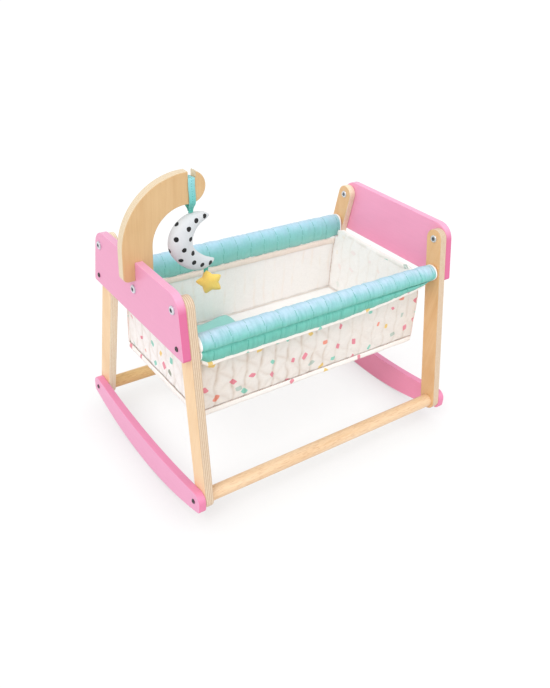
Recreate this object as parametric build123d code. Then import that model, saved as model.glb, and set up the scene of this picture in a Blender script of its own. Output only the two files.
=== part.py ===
"""Doll's rocking cradle: two splayed end frames on curved rockers, a fabric basket slung
from two rails, and a plywood arm at the head that carries a hanging moon and star.

Millimetres, +Z up, +X from the head end to the foot end. The origin lies on the floor
under the middle of the whole cradle. The rockers touch the floor at Z = 0.
"""
from build123d import *
from math import atan, cos, degrees, hypot, pi, radians, sin, sqrt
import os

# End frames: legs, panels and rockers
frame_span = 500.0          # between the outer faces of the legs, along X
leg_thick = 14.0
leg_width = 32.5
bolt_half_span = 118.0      # top bolts, from the middle line, along Y
bolts_above_rails = 56.3
foot_half_span = 173.0      # foot screws, from the middle line, along Y
foot_height = 44.5
panel_thick = 12.5
panel_above_bolts = 23.0    # from the bolts up to a panel's top edge
panel_below_rails = 14.7    # from the rails' axes down to its bottom edge
panel_top_radius = 28.0
panel_low_radius = 4.0
rocker_thick = 12.5
rocker_depth = 49.0         # height of the rocker at the middle
rocker_sole_radius = 600.0
rocker_back_radius = 1200.0
rocker_past_feet = 17.0     # from the foot screws out to the ends of a rocker
rocker_nose_radius = 15.0
rocker_toe_radius = 8.0
edge_round = 1.5
paint_round = 1.2

# Rails and stretchers
rail_radius = 11.0
rail_height = 291.7
stretcher_radius = 11.4
dowel_end_round = 0.8

# Arm of the mobile
arm_thick = 15.0
arm_band = 48.5             # width of the curved board
arm_above_panel = 120.5     # from the head panel's top edge up to the arm's
arm_bend_radius = 55.0      # inner edge of the bend
arm_tip_run = 7.5           # straight stretch between the bend and the round tip
lip_proud = 19.0            # how far the arm stands in front of the head panel
lip_below_panel = 29.5      # from the panel's top edge down to the end of that lip
lip_radius = 9.0
lap_below_panel = 17.0      # down to where the arm's slot and the panel's slot meet
arm_leg_below_bolt = 20.5   # from the arm's bolt down to the end of its leg
arm_leg_radius = 6.0
joint_fit = 0.15
notch_width = 13.0
notch_depth = 11.5
notch_from_tip = 23.0       # from the end of the tip to the middle of the notch

# Fasteners
bolt_radius = 3.0
bolt_head_radius = 6.5
bolt_head_depth = 2.6
sleeve_nut_radius = 4.0
sleeve_nut_head_radius = 6.2
sleeve_nut_head_depth = 1.6
sleeve_nut_gap = 1.0        # left between the nut's barrel and the bolt's head
head_slope_share = 0.4      # of a head's depth that its bevelled rim takes
socket_radius = 2.3
socket_depth = 1.8
screw_radius = 2.2
screw_head_radius = 3.9
screw_head_depth = 1.5
screw_grip = 30.0           # length of screw inside a rail or stretcher
screw_socket_radius = 1.6
screw_socket_depth = 0.9
arm_bolt_below_panel = 45.5
hole_fit = 0.05

# Basket
basket_end_gap = 14.0       # from the legs' inner faces to the end walls
wall_inside_rail = 10.2     # from a rail's axis in to the outer face of the side wall
wall_thick = 4.0
wall_bulge = 2.5            # how far a side wall bellies out in its middle
wall_end_share = 0.04       # how much of that is left where it meets the end walls
wall_below_rail = 26.7      # from a rail's axis down to the top of the side wall
wall_height = 107.0         # of a side wall, from its seam with the floor
end_hem_below_rail = 4.7    # from the rails' axes down to the end walls' hems
end_hem_radius = 2.6
end_sag = 3.0               # how far the end hems sag between the rails
floor_depth = 20.0          # from the seam down to the underside
floor_inset = 18.0          # how far the flat of the floor lies inside the seam
floor_skin = 3.5
floor_levels_shares = ((0.0, 1.0), (0.15, 0.62), (0.4, 0.3), (0.7, 0.1), (1.0, 0.0))
basket_corner = 8.0
board_thick = 3.0
board_margin = 6.0
mattress_thick = 12.0
mattress_gap = 1.0
mattress_levels_shares = ((0.0, 0.75), (0.35, 0.45), (0.72, 0.12), (0.9, 0.4), (1.0, 1.5))
piping_radius = 1.9
cloth_gap = 0.3

# Sleeves round the rails
sleeve_top_wrap = 2.5       # cloth over the top of the rail
sleeve_belly = 18.0         # half width of the sleeve below the rail
sleeve_belly_drop = 12.5    # widest place, below the rail's axis
sleeve_flap_drop = 9.0      # how far the outer flap hangs below the wall's top
sleeve_flap_out = 13.5      # how far the flap stands out of the wall
sleeve_crease = 3.0         # depth of the fold above the flap
sleeve_end_gap = 6.0        # from the legs' inner faces to the sleeves
sleeve_end_run = 26.0       # length over which the ends are drawn in
sleeve_end_share = 0.86
sleeve_bore_fit = 0.15

# Pillow
pillow_length = 186.0
pillow_side_gap = 6.0       # from the side walls
pillow_rise = 14.5          # from its seam up to its crown
pillow_drop = 3.5           # from its seam down to its underside
pillow_drawn_in = 5.0       # how far its sides pull in between the corners
pillow_crown_shares = ((0.0, 1.0), (0.35, 0.965), (0.62, 0.88), (0.85, 0.72), (1.0, 0.45))
pillow_base_shares = ((0.0, 1.0), (0.55, 0.95), (1.0, 0.86))
pillow_head_gap = 4.0       # from the head wall

# Hanging strap, moon and star
strap_width = 10.0
strap_thick = 1.0
strap_gap = 0.3
strap_drop = 13.0           # from the arm's lower edge to the end of the strap
tab_radius = 1.0
tab_run = 2.2
moon_radius = 47.5          # of its outer edge
moon_bay_radius = 30.6      # of its inner edge
moon_bay_out = 22.6         # from the centre of the outer edge to that of the inner one
moon_tilt = 8.0             # degrees
moon_horn_turn = 54.5       # degrees from the axis of the bay to a horn, on the outer edge
moon_bay_turn = 83.0        # degrees, the same on the inner edge
moon_horn_share = 0.14      # of its length over which a horn is rounded off
moon_horn_stations_shares = (0.004, 0.03, 0.07, 0.11)
moon_body_steps = 20
moon_thick_share = 0.72     # of its width
moon_strap_in = 11.75       # from the strap to the centre of the outer edge, along X
star_radius = 20.5
star_waist = 14.0
star_thick = 12.0
star_inset = 5.4            # from its seam in to its flat face
star_turn = -32.6           # degrees, about Z
star_tilt = 19.0            # degrees, in its own plane
star_neck = 2.6             # of the star's top point, cut off where the tab is sewn in
star_tab_width = 8.0
star_tab_thick = 1.4
star_tab_length = 8.5
star_tab_in = 17.0          # from the centre of the moon's outer edge to the tab, along X

overrun = 2.0

# Places that follow from the sizes above
mid_x = (lip_proud - bolt_head_depth) / 2   # middle of the frames in the part's own frame
bolt_height = rail_height + bolts_above_rails
leg_x = frame_span / 2
inner_x = leg_x - leg_thick
panel_x = leg_x + panel_thick
panel_top = bolt_height + panel_above_bolts
panel_bottom = rail_height - panel_below_rails
rocker_half_length = foot_half_span + rocker_past_feet
arm_top = panel_top + arm_above_panel
lip_bottom = panel_top - lip_below_panel
lap_height = panel_top - lap_below_panel
arm_bolt_height = panel_top - arm_bolt_below_panel
arm_leg_bottom = arm_bolt_height - arm_leg_below_bolt
splay = (foot_half_span - bolt_half_span) / (bolt_height - foot_height)
lean = atan(splay)
rail_y = foot_half_span - (rail_height - foot_height) * splay
arm_low = arm_top - arm_band
arm_out_x = -panel_x - lip_proud
arm_in_x = arm_out_x + arm_band
arm_leg_depth = leg_x + arm_in_x            # of the arm's leg behind the head panel
arm_bend_x = arm_in_x + arm_bend_radius
arm_bend_z = arm_low - arm_bend_radius
arm_tip_x = arm_bend_x + arm_tip_run + arm_band / 2
notch_x = arm_tip_x - notch_from_tip
notch_floor = arm_top - notch_depth
strap_low = arm_low - strap_drop
swing_z = strap_low - strap_gap - tab_radius
moon_x = notch_x + moon_strap_in
moon_z = swing_z - tab_run - strap_gap - sqrt(moon_radius ** 2 - (moon_strap_in - strap_width / 2) ** 2)
star_tab_x = moon_x + star_tab_in
star_swing_z = (moon_z - sqrt(moon_radius ** 2 - (star_tab_in - star_tab_width / 2) ** 2)
                - strap_gap - star_tab_thick / 2)
star_top = star_swing_z - star_tab_length
basket_half_length = inner_x - basket_end_gap
basket_half_width = rail_y - wall_inside_rail
basket_inner_length = basket_half_length - wall_thick
basket_inner_width = basket_half_width - wall_thick
wall_top = rail_height - wall_below_rail
seam_height = wall_top - wall_height
end_hem_top = rail_height - end_hem_below_rail
floor_bottom = seam_height - floor_depth
board_bottom = floor_bottom + floor_skin
mattress_bottom = board_bottom + board_thick
mattress_top = mattress_bottom + mattress_thick
end_hem_half = rail_y - sleeve_belly - 2 * cloth_gap
sleeve_half_length = inner_x - sleeve_end_gap
pillow_width = 2 * (basket_inner_width - pillow_side_gap)

os.makedirs("parts", exist_ok=True)


def save(name, shape):
    """Writes one sub-part, moved so that the origin is under the middle of the cradle."""
    solids = [solid.moved(Pos(mid_x, 0, 0)) for solid in shape.solids()]
    whole = solids[0] if len(solids) == 1 else Compound(solids)
    whole.label = name
    export_step(whole, f"parts/{name}.step")


def mirrored(shape):
    """The same shape on the other side of the cradle's long middle plane."""
    return mirror(shape, about=Plane.XZ)


def joined(shapes):
    """Several separate solids kept as one node."""
    return Compound([solid for shape in shapes for solid in shape.solids()])


def bar(radius, x_from, x_to, y, z):
    """A round bar along X."""
    return extrude(Plane.YZ * Pos(y, z) * Circle(radius), x_to - x_from).moved(Pos(x_from, 0, 0))


def leg_y(z):
    """Distance of a leg's centre line from the middle plane at a height."""
    return foot_half_span - (z - foot_height) * splay


def rounded_board(face, x_from, x_to, radius):
    """A flat outline in the YZ plane, cut from board, with softened edges."""
    board = extrude(face, x_to - x_from).moved(Pos(x_from, 0, 0))
    return fillet(board.faces().filter_by(Axis.X).edges(), radius)


def corner_at(face, x, y):
    """The corner of a flat outline nearest to a point."""
    return face.vertices().sort_by_distance((x, y, 0))[0]


def cut_all(shape, cutters):
    """Removes each cutter in turn."""
    for cutter in cutters:
        shape = shape - cutter
    return shape


# Legs, panels and rockers

def leg(end, side):
    """One leg: both ends fully round, drilled for its bolt, rail screw and foot screw."""
    run = hypot(foot_half_span - bolt_half_span, bolt_height - foot_height)
    middle_y = side * (foot_half_span + bolt_half_span) / 2
    middle_z = (bolt_height + foot_height) / 2
    turn = 90 + side * degrees(lean)
    face = Plane.YZ * Pos(middle_y, middle_z) * Rot(0, 0, turn) * SlotCenterToCenter(run, leg_width)
    x_from, x_to = sorted((end * leg_x, end * inner_x))
    body = rounded_board(face, x_from, x_to, edge_round)
    low, high = x_from - overrun, x_to + overrun
    return cut_all(body, [
        bar(sleeve_nut_radius + hole_fit, low, high, side * bolt_half_span, bolt_height),
        bar(screw_radius + hole_fit, low, high, side * rail_y, rail_height),
        bar(screw_radius + hole_fit, low, high, side * foot_half_span, foot_height),
    ])


def panel_face():
    """Outline of an end panel: its sides run flush with the legs' outer edges."""
    reach = leg_width / 2 / cos(lean)
    top_y = leg_y(panel_top) + reach
    low_y = leg_y(panel_bottom) + reach
    corners = [(-low_y, panel_bottom), (low_y, panel_bottom), (top_y, panel_top), (-top_y, panel_top)]
    face = make_face(Polyline(*corners, close=True))
    points = face.vertices().sort_by(Axis.Y)
    face = fillet(points[2:], panel_top_radius)
    low_points = face.vertices().sort_by(Axis.Y)[:2]
    return Plane.YZ * fillet(low_points, panel_low_radius)


def panel(end):
    """One end panel, drilled for its bolts and rail screws; the head one is slotted for the arm."""
    x_from, x_to = sorted((end * leg_x, end * panel_x))
    body = rounded_board(panel_face(), x_from, x_to, paint_round)
    low, high = x_from - overrun, x_to + overrun
    cutters = []
    for side in (-1, 1):
        cutters.append(bar(bolt_radius + hole_fit, low, high, side * bolt_half_span, bolt_height))
        cutters.append(bar(screw_radius + hole_fit, low, high, side * rail_y, rail_height))
    if end < 0:
        slot_height = panel_top + overrun - lap_height
        slot = Box(high - low, arm_thick + 2 * joint_fit, slot_height)
        cutters.append(slot.moved(Pos((low + high) / 2, 0, lap_height + slot_height / 2)))
        cutters.append(bar(bolt_radius + hole_fit, low, high, 0, arm_bolt_height))
    return cut_all(body, cutters)


def sole_z(y, radius, lowest):
    """Height of an upward-curving arc at a distance from the middle."""
    return lowest + radius - sqrt(radius ** 2 - y ** 2)


def rocker(end):
    """One rocker: curved sole, gently curved back and rounded noses."""
    y = rocker_half_length
    sole = sole_z(y, rocker_sole_radius, 0)
    back = sole_z(y, rocker_back_radius, rocker_depth)
    edges = [
        ThreePointArc((-y, sole), (0, 0), (y, sole)),
        Line((y, sole), (y, back)),
        ThreePointArc((y, back), (0, rocker_depth), (-y, back)),
        Line((-y, back), (-y, sole)),
    ]
    face = make_face(Curve() + edges)
    face = fillet(face.vertices().sort_by(Axis.Y)[2:], rocker_nose_radius)
    face = fillet(face.vertices().sort_by(Axis.Y)[:2], rocker_toe_radius)
    x_from, x_to = sorted((end * leg_x, end * (leg_x + rocker_thick)))
    body = rounded_board(Plane.YZ * face, x_from, x_to, paint_round)
    low, high = x_from - overrun, x_to + overrun
    return cut_all(body, [
        bar(screw_radius + hole_fit, low, high, side * foot_half_span, foot_height) for side in (-1, 1)
    ])


def dowel(radius, y, z):
    """A round rail or stretcher between the legs, with a pilot hole for a screw in each end."""
    body = fillet(bar(radius, -inner_x, inner_x, y, z).edges(), dowel_end_round)
    holes = []
    for end in (-1, 1):
        x_from, x_to = sorted((end * (inner_x - screw_grip), end * (inner_x + overrun)))
        holes.append(bar(screw_radius + hole_fit, x_from, x_to, y, z))
    return cut_all(body, holes)


# Fasteners

def hex_socket(radius, depth, x_face, inward, y, z):
    """A hexagon socket sunk into a head's outer face."""
    x_from, x_to = sorted((x_face - inward * overrun, x_face + inward * depth))
    hexagon = extrude(Plane.YZ * Pos(y, z) * RegularPolygon(radius, 6), x_to - x_from)
    return hexagon.moved(Pos(x_from, 0, 0))


def headed_pin(end, face, head_radius, head_depth, radius, length, socket, y, z):
    """A bevelled head on a board's outer face, with its shank running into the cradle."""
    head_out = end * (face + head_depth)
    head = bar(head_radius, *sorted((end * face, head_out)), y, z)
    rim = head.edges().sort_by(Axis.X)
    head = chamfer(rim[-1] if end > 0 else rim[0], head_depth * head_slope_share)
    shank = bar(radius, *sorted((end * face, end * (face - length))), y, z)
    return head + shank - hex_socket(*socket, head_out, -end, y, z)


def panel_bolts():
    """Four bolts through the panels, screwed into the sleeve nuts."""
    length = panel_thick + leg_thick - sleeve_nut_head_depth
    socket = (socket_radius, socket_depth)
    return joined([
        headed_pin(end, panel_x, bolt_head_radius, bolt_head_depth, bolt_radius, length, socket,
                   side * bolt_half_span, bolt_height)
        for end in (-1, 1) for side in (-1, 1)
    ])


def sleeve_nut(end, face, depth, y, z):
    """A flanged nut set from the inner face of a board, its barrel round the bolt."""
    head = bar(sleeve_nut_head_radius, *sorted((end * face, end * (face - sleeve_nut_head_depth))), y, z)
    rim = head.edges().sort_by(Axis.X)
    head = chamfer(rim[0] if end > 0 else rim[-1], sleeve_nut_head_depth * head_slope_share)
    barrel = bar(sleeve_nut_radius, *sorted((end * face, end * (face + depth - sleeve_nut_gap))), y, z)
    x_from, x_to = sorted((end * (face - sleeve_nut_head_depth / 2), end * (face + depth + overrun)))
    return head + barrel - bar(bolt_radius + hole_fit, x_from, x_to, y, z)


def sleeve_nuts():
    """Four flanged nuts on the inner faces of the legs."""
    return joined([
        sleeve_nut(end, inner_x, leg_thick, side * bolt_half_span, bolt_height)
        for end in (-1, 1) for side in (-1, 1)
    ])


def board_screws(face, board, y, z):
    """Four socket screws through a painted board and a leg into the ends of two dowels."""
    length = board + leg_thick + screw_grip - sleeve_nut_gap
    socket = (screw_socket_radius, screw_socket_depth)
    return joined([
        headed_pin(end, face, screw_head_radius, screw_head_depth, screw_radius, length, socket,
                   side * y, z)
        for end in (-1, 1) for side in (-1, 1)
    ])


def arm_bolt():
    """The bolt that pins the arm's leg to the inside of the head panel."""
    length = panel_thick + arm_leg_depth - sleeve_nut_head_depth
    return headed_pin(-1, panel_x, bolt_head_radius, bolt_head_depth, bolt_radius, length,
                      (socket_radius, socket_depth), 0, arm_bolt_height)


def arm_nut():
    """The flanged nut on the inner edge of the arm's leg."""
    return sleeve_nut(-1, -arm_in_x, arm_leg_depth, 0, arm_bolt_height)


# Arm of the mobile

def mobile_arm():
    """A curved plywood arm: one edge in front of the head panel, one behind, lapped over its slot."""
    outer_r = arm_bend_radius + arm_band
    turn = sin(pi / 4)
    tip_r = arm_band / 2
    tip_x = arm_bend_x + arm_tip_run
    tip_z = arm_top - tip_r
    outline = [
        Line((arm_out_x, lip_bottom), (arm_out_x, arm_bend_z)),
        ThreePointArc((arm_out_x, arm_bend_z),
                      (arm_bend_x - outer_r * turn, arm_bend_z + outer_r * turn),
                      (arm_bend_x, arm_top)),
        Line((arm_bend_x, arm_top), (tip_x, arm_top)),
        ThreePointArc((tip_x, arm_top), (tip_x + tip_r, tip_z), (tip_x, arm_low)),
        Line((tip_x, arm_low), (arm_bend_x, arm_low)),
        ThreePointArc((arm_bend_x, arm_low),
                      (arm_bend_x - arm_bend_radius * turn, arm_bend_z + arm_bend_radius * turn),
                      (arm_in_x, arm_bend_z)),
        Line((arm_in_x, arm_bend_z), (arm_in_x, arm_leg_bottom)),
        Line((arm_in_x, arm_leg_bottom), (-panel_x, arm_leg_bottom)),
        Line((-panel_x, arm_leg_bottom), (-panel_x, lip_bottom)),
        Line((-panel_x, lip_bottom), (arm_out_x, lip_bottom)),
    ]
    face = make_face(Curve() + outline)
    face = fillet(corner_at(face, arm_in_x, arm_leg_bottom), arm_leg_radius)
    face = fillet(corner_at(face, arm_out_x, lip_bottom), lip_radius)
    body = extrude(Plane.XZ * face, arm_thick / 2, both=True)
    body = fillet(body.faces().filter_by(Axis.Y).edges(), edge_round)
    lap_width = panel_thick + 2 * joint_fit
    lap_depth = lap_height - arm_leg_bottom + overrun
    lap = Box(lap_width, arm_thick + 2 * overrun, lap_depth)
    lap = lap.moved(Pos(-(leg_x + panel_x) / 2, 0, lap_height - lap_depth / 2))
    notch = Box(notch_width, arm_thick + 2 * overrun, notch_depth + overrun)
    notch = notch.moved(Pos(notch_x, 0, notch_floor + (notch_depth + overrun) / 2))
    bolt_way = bar(sleeve_nut_radius + hole_fit, -leg_x - overrun, arm_in_x + overrun, 0, arm_bolt_height)
    return cut_all(body, [lap, notch, bolt_way])


# Basket

def side_wall_section(x, bulge):
    """Section of a side wall in the YZ plane, curved out between its seams."""
    middle = (seam_height + wall_top) / 2
    inner, outer = basket_inner_width, basket_half_width
    edges = [
        Line((inner, seam_height), (outer, seam_height)),
        ThreePointArc((outer, seam_height), (outer + bulge, middle), (outer, wall_top)),
        Line((outer, wall_top), (inner, wall_top)),
        ThreePointArc((inner, wall_top), (inner + bulge, middle), (inner, seam_height)),
    ]
    return Plane.YZ.offset(x) * make_face(Curve() + edges)


def side_wall(side):
    """A long wall of quilted cloth that bellies out in its middle."""
    wall = loft([
        side_wall_section(-basket_half_length, wall_bulge * wall_end_share),
        side_wall_section(0, wall_bulge),
        side_wall_section(basket_half_length, wall_bulge * wall_end_share),
    ])
    return wall if side > 0 else mirrored(wall)


def end_wall(end):
    """A short wall, narrower above the side walls and sagging a little along its top."""
    low_half, high_half = basket_inner_width, end_hem_half
    neck = wall_top - wall_thick
    outline = [
        Line((-low_half, seam_height), (low_half, seam_height)),
        Line((low_half, seam_height), (low_half, neck)),
        Line((low_half, neck), (high_half, wall_top)),
        Line((high_half, wall_top), (high_half, end_hem_top)),
        ThreePointArc((high_half, end_hem_top), (0, end_hem_top - end_sag), (-high_half, end_hem_top)),
        Line((-high_half, end_hem_top), (-high_half, wall_top)),
        Line((-high_half, wall_top), (-low_half, neck)),
        Line((-low_half, neck), (-low_half, seam_height)),
    ]
    x_from, x_to = sorted((end * basket_inner_length, end * basket_half_length))
    return extrude(Plane.YZ * make_face(Curve() + outline), x_to - x_from).moved(Pos(x_from, 0, 0))


def end_hem(end):
    """The rolled hem along the top of an end wall."""
    half = end_hem_half - end_hem_radius
    x = end * (basket_half_length - wall_thick / 2)
    lift = end_hem_radius + cloth_gap
    path = ThreePointArc((x, -half, end_hem_top + lift), (x, 0, end_hem_top - end_sag + lift),
                         (x, half, end_hem_top + lift))
    start = Plane(path @ 0, z_dir=path % 0)
    return sweep(start * Circle(end_hem_radius), path=path)


def inset_rectangle(inset, corner, z):
    """The basket's inner outline drawn in all round, at a height."""
    return Pos(0, 0, z) * RectangleRounded(
        2 * (basket_inner_length - inset), 2 * (basket_inner_width - inset), corner)


def tray(out, corner, bottom, top):
    """A shallow sling: full size at its seam and drawn in to a flat underneath."""
    return loft([
        inset_rectangle(floor_inset * inset_share - out, corner, bottom + (top - bottom) * rise_share)
        for rise_share, inset_share in floor_levels_shares
    ], ruled=True)


def basket_floor():
    """The cloth floor of the basket, a shallow tray sewn to the walls all round."""
    hollow = tray(0, basket_corner, board_bottom, seam_height)
    mouth = extrude(inset_rectangle(0, basket_corner, seam_height - cloth_gap), cloth_gap + overrun)
    return tray(wall_thick, basket_corner + wall_thick, floor_bottom, seam_height) - hollow - mouth


def base_board():
    """The stiff board inside the floor."""
    return extrude(inset_rectangle(floor_inset + board_margin, basket_corner, board_bottom), board_thick)


def mattress():
    """The pad on the board: drawn in at the bottom, full at its sides and crowned on top."""
    return loft([
        inset_rectangle(mattress_gap + floor_inset * inset_share, basket_corner,
                        mattress_bottom + mattress_thick * rise_share)
        for rise_share, inset_share in mattress_levels_shares
    ], ruled=True)


def seam_piping():
    """The cord sewn round the outside of the floor's seam."""
    out = wall_thick + piping_radius + cloth_gap
    loop = inset_rectangle(-out, basket_corner + out, seam_height - piping_radius - cloth_gap)
    path = loop.wire()
    start = Plane(path @ 0, z_dir=path % 0)
    return sweep(start * Circle(piping_radius), path=path)


def sleeve_section(x, share):
    """Section of a sleeve in the YZ plane: over the rail, out to its belly, in to the fold and
    down its outer flap, with a flat underside that sits on the wall."""
    y, z = rail_y, rail_height
    top = z + rail_radius + sleeve_top_wrap
    belly = sleeve_belly * share
    belly_z = z - sleeve_belly_drop * share
    inner_y = basket_inner_width
    flap_in = basket_half_width + wall_bulge + cloth_gap
    flap_out = basket_half_width + sleeve_flap_out * share
    flap_low = wall_top - sleeve_flap_drop
    fold_y = y + belly - sleeve_crease
    fold_z = (belly_z + wall_top) / 2
    shoulder = sin(pi / 4)
    edges = [
        Line((inner_y, wall_top), (flap_in, wall_top)),
        Line((flap_in, wall_top), (flap_in, flap_low)),
        Line((flap_in, flap_low), (flap_out, flap_low)),
        ThreePointArc((flap_out, flap_low), ((flap_out + fold_y + sleeve_crease) / 2, wall_top),
                      (fold_y, fold_z)),
        ThreePointArc((fold_y, fold_z), (y + belly - sleeve_crease / 4, (fold_z + belly_z) / 2),
                      (y + belly, belly_z)),
        ThreePointArc((y + belly, belly_z),
                      (y + belly * shoulder, belly_z + (top - belly_z) * shoulder), (y, top)),
        ThreePointArc((y, top),
                      (y - belly * shoulder, belly_z + (top - belly_z) * shoulder), (y - belly, belly_z)),
        ThreePointArc((y - belly, belly_z), (inner_y - sleeve_crease / 3, (belly_z + wall_top) / 2),
                      (inner_y, wall_top)),
    ]
    return Plane.YZ.offset(x) * make_face(Curve() + edges)


def rail_sleeve(side):
    """A padded sleeve round one rail, drawn in towards its ends."""
    run = sleeve_half_length - sleeve_end_run
    middle = extrude(sleeve_section(-run, 1.0), 2 * run, dir=(1, 0, 0))
    ends = [
        loft([sleeve_section(end * run, 1.0), sleeve_section(end * sleeve_half_length, sleeve_end_share)])
        for end in (-1, 1)
    ]
    body = middle + ends
    bore = bar(rail_radius + sleeve_bore_fit, -inner_x, inner_x, rail_y, rail_height)
    body = body - bore
    return body if side > 0 else mirrored(body)


# Pillow

def cushion_outline(length, width, drawn_in, z):
    """A four-cornered cushion outline whose sides pull in between the corners."""
    a, b = length / 2, width / 2
    edges = [
        ThreePointArc((-a, -b), (0, -b + drawn_in), (a, -b)),
        ThreePointArc((a, -b), (a - drawn_in, 0), (a, b)),
        ThreePointArc((a, b), (0, b - drawn_in), (-a, b)),
        ThreePointArc((-a, b), (-a + drawn_in, 0), (-a, -b)),
    ]
    return Pos(0, 0, z) * make_face(Curve() + edges)


def pillow():
    """A flat pillow at the head end, thick in the middle and thin at its seam."""
    seam = mattress_top + cloth_gap + pillow_drop
    halves = [
        loft([
            cushion_outline(pillow_length * size_share, pillow_width * size_share,
                            pillow_drawn_in * size_share, seam + rise * rise_share)
            for rise_share, size_share in level_shares
        ], ruled=True)
        for rise, level_shares in ((pillow_rise, pillow_crown_shares), (-pillow_drop, pillow_base_shares))
    ]
    x = -basket_inner_length + pillow_head_gap + pillow_length / 2
    return (halves[0] + halves[1]).moved(Pos(x, 0, 0))


# Strap, moon and star

def strap_loop():
    """The ribbon over the arm: it lies in the notch, runs down both faces and closes below."""
    inner_y = arm_thick / 2 + strap_gap
    outer_y = inner_y + strap_thick
    inner_top = notch_floor + strap_gap
    outer_top = inner_top + strap_thick
    turn_z = arm_low - strap_gap
    outer = [(-tab_radius, strap_low), (tab_radius, strap_low), (outer_y, turn_z), (outer_y, outer_top),
             (-outer_y, outer_top), (-outer_y, turn_z)]
    inner_low = strap_low + strap_thick * (outer_y / tab_radius) / 2
    inner = [(0, inner_low), (inner_y, turn_z), (inner_y, inner_top), (-inner_y, inner_top),
             (-inner_y, turn_z)]
    face = make_face(Polyline(*outer, close=True)) - make_face(Polyline(*inner, close=True))
    return extrude(Plane.YZ * face, strap_width).moved(Pos(notch_x - strap_width / 2, 0, 0))


def moon_tab():
    """The short end of ribbon that the moon hangs and turns on."""
    tab_low = swing_z - tab_run
    flat = Box(strap_width, 2 * tab_radius, tab_run).moved(Pos(notch_x, 0, (swing_z + tab_low) / 2))
    return flat + bar(tab_radius, notch_x - strap_width / 2, notch_x + strap_width / 2, 0, swing_z)


def moon_section(share):
    """A lens-shaped section across the moon at a share of the way from horn to horn."""
    outer_turn = radians(moon_tilt + moon_horn_turn + share * (360 - 2 * moon_horn_turn))
    inner_turn = radians(moon_tilt + moon_bay_turn + share * (360 - 2 * moon_bay_turn))
    outer = Vector(moon_x, 0, moon_z) + Vector(cos(outer_turn), 0, sin(outer_turn)) * moon_radius
    tilt = radians(moon_tilt)
    inner = Vector(moon_x, 0, moon_z) + Vector(cos(tilt), 0, sin(tilt)) * moon_bay_out
    inner = inner + Vector(cos(inner_turn), 0, sin(inner_turn)) * moon_bay_radius
    to_horn = min(share, 1 - share, moon_horn_share) / moon_horn_share
    taper = sqrt(1 - (1 - to_horn) ** 2)
    middle = (outer + inner) / 2
    outer = middle + (outer - middle) * taper
    inner = middle + (inner - middle) * taper
    swell = Vector(0, (outer - inner).length / 2 * moon_thick_share, 0)
    return make_face(Curve() + [
        ThreePointArc(outer, middle - swell, inner),
        ThreePointArc(inner, middle + swell, outer),
    ])


def moon():
    """A stuffed moon: lens-shaped sections that swell and taper between two round edges."""
    horn = moon_horn_stations_shares
    run = 1 - 2 * moon_horn_share
    body = [moon_horn_share + run * step / moon_body_steps for step in range(moon_body_steps + 1)]
    stations = [*horn, *body, *(1 - share for share in reversed(horn))]
    return loft([moon_section(share) for share in stations], ruled=True)


def star_outline():
    """A five-pointed star, drawn about its own centre."""
    points = []
    for step in range(10):
        radius = star_radius if step % 2 == 0 else star_waist
        angle = radians(90 + star_tilt + 36 * step)
        points.append((radius * cos(angle), radius * sin(angle)))
    return make_face(Polyline(*points, close=True))


def star():
    """A small stuffed star, fullest in the middle, its top point cut off at the tab."""
    reach = star_radius - star_neck
    aside = reach * sin(radians(star_tilt))
    x = star_tab_x + aside * cos(radians(star_turn))
    y = aside * sin(radians(star_turn))
    z = star_top - reach * cos(radians(star_tilt))
    seam = Plane.XZ * star_outline()
    half = extrude(seam, star_thick / 2, taper=degrees(atan(star_inset / (star_thick / 2))))
    body = Pos(x, y, z) * Rot(0, 0, star_turn) * (half + mirrored(half))
    crop = Box(4 * star_radius, 4 * star_radius, star_radius)
    return body - crop.moved(Pos(x, y, star_top + star_radius / 2))


def star_tab():
    """The ribbon between the moon and the star."""
    flat = Box(star_tab_width, star_tab_thick, star_tab_length)
    flat = flat.moved(Pos(star_tab_x, 0, star_swing_z - star_tab_length / 2))
    x_from, x_to = star_tab_x - star_tab_width / 2, star_tab_x + star_tab_width / 2
    return flat + bar(star_tab_thick / 2, x_from, x_to, 0, star_swing_z)


def build():
    """Writes every sub-part."""
    for end, end_name in ((-1, "head"), (1, "foot")):
        save(f"{end_name}_panel", panel(end))
        save(f"{end_name}_rocker", rocker(end))
        save(f"basket_{end_name}_wall", end_wall(end))
        save(f"basket_{end_name}_hem", end_hem(end))
        for side, side_name in ((-1, "near"), (1, "far")):
            save(f"{end_name}_{side_name}_leg", leg(end, side))
    for side, side_name in ((-1, "near"), (1, "far")):
        save(f"{side_name}_rail", dowel(rail_radius, side * rail_y, rail_height))
        save(f"{side_name}_stretcher", dowel(stretcher_radius, side * foot_half_span, foot_height))
        save(f"{side_name}_sleeve", rail_sleeve(side))
        save(f"basket_{side_name}_wall", side_wall(side))
    save("panel_bolts", panel_bolts())
    save("sleeve_nuts", sleeve_nuts())
    save("rail_screws", board_screws(panel_x, panel_thick, rail_y, rail_height))
    save("foot_screws", board_screws(leg_x + rocker_thick, rocker_thick, foot_half_span, foot_height))
    save("mobile_arm", mobile_arm())
    save("arm_bolt", arm_bolt())
    save("arm_nut", arm_nut())
    save("basket_floor", basket_floor())
    save("base_board", base_board())
    save("mattress", mattress())
    save("seam_piping", seam_piping())
    save("pillow", pillow())
    save("strap_loop", strap_loop())
    save("moon_tab", moon_tab())
    save("moon", moon())
    save("star_tab", star_tab())
    save("star", star())


build()
print("swing hinge", (notch_x + mid_x, 0, swing_z), "star hinge", (star_tab_x + mid_x, 0, star_swing_z))
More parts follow.
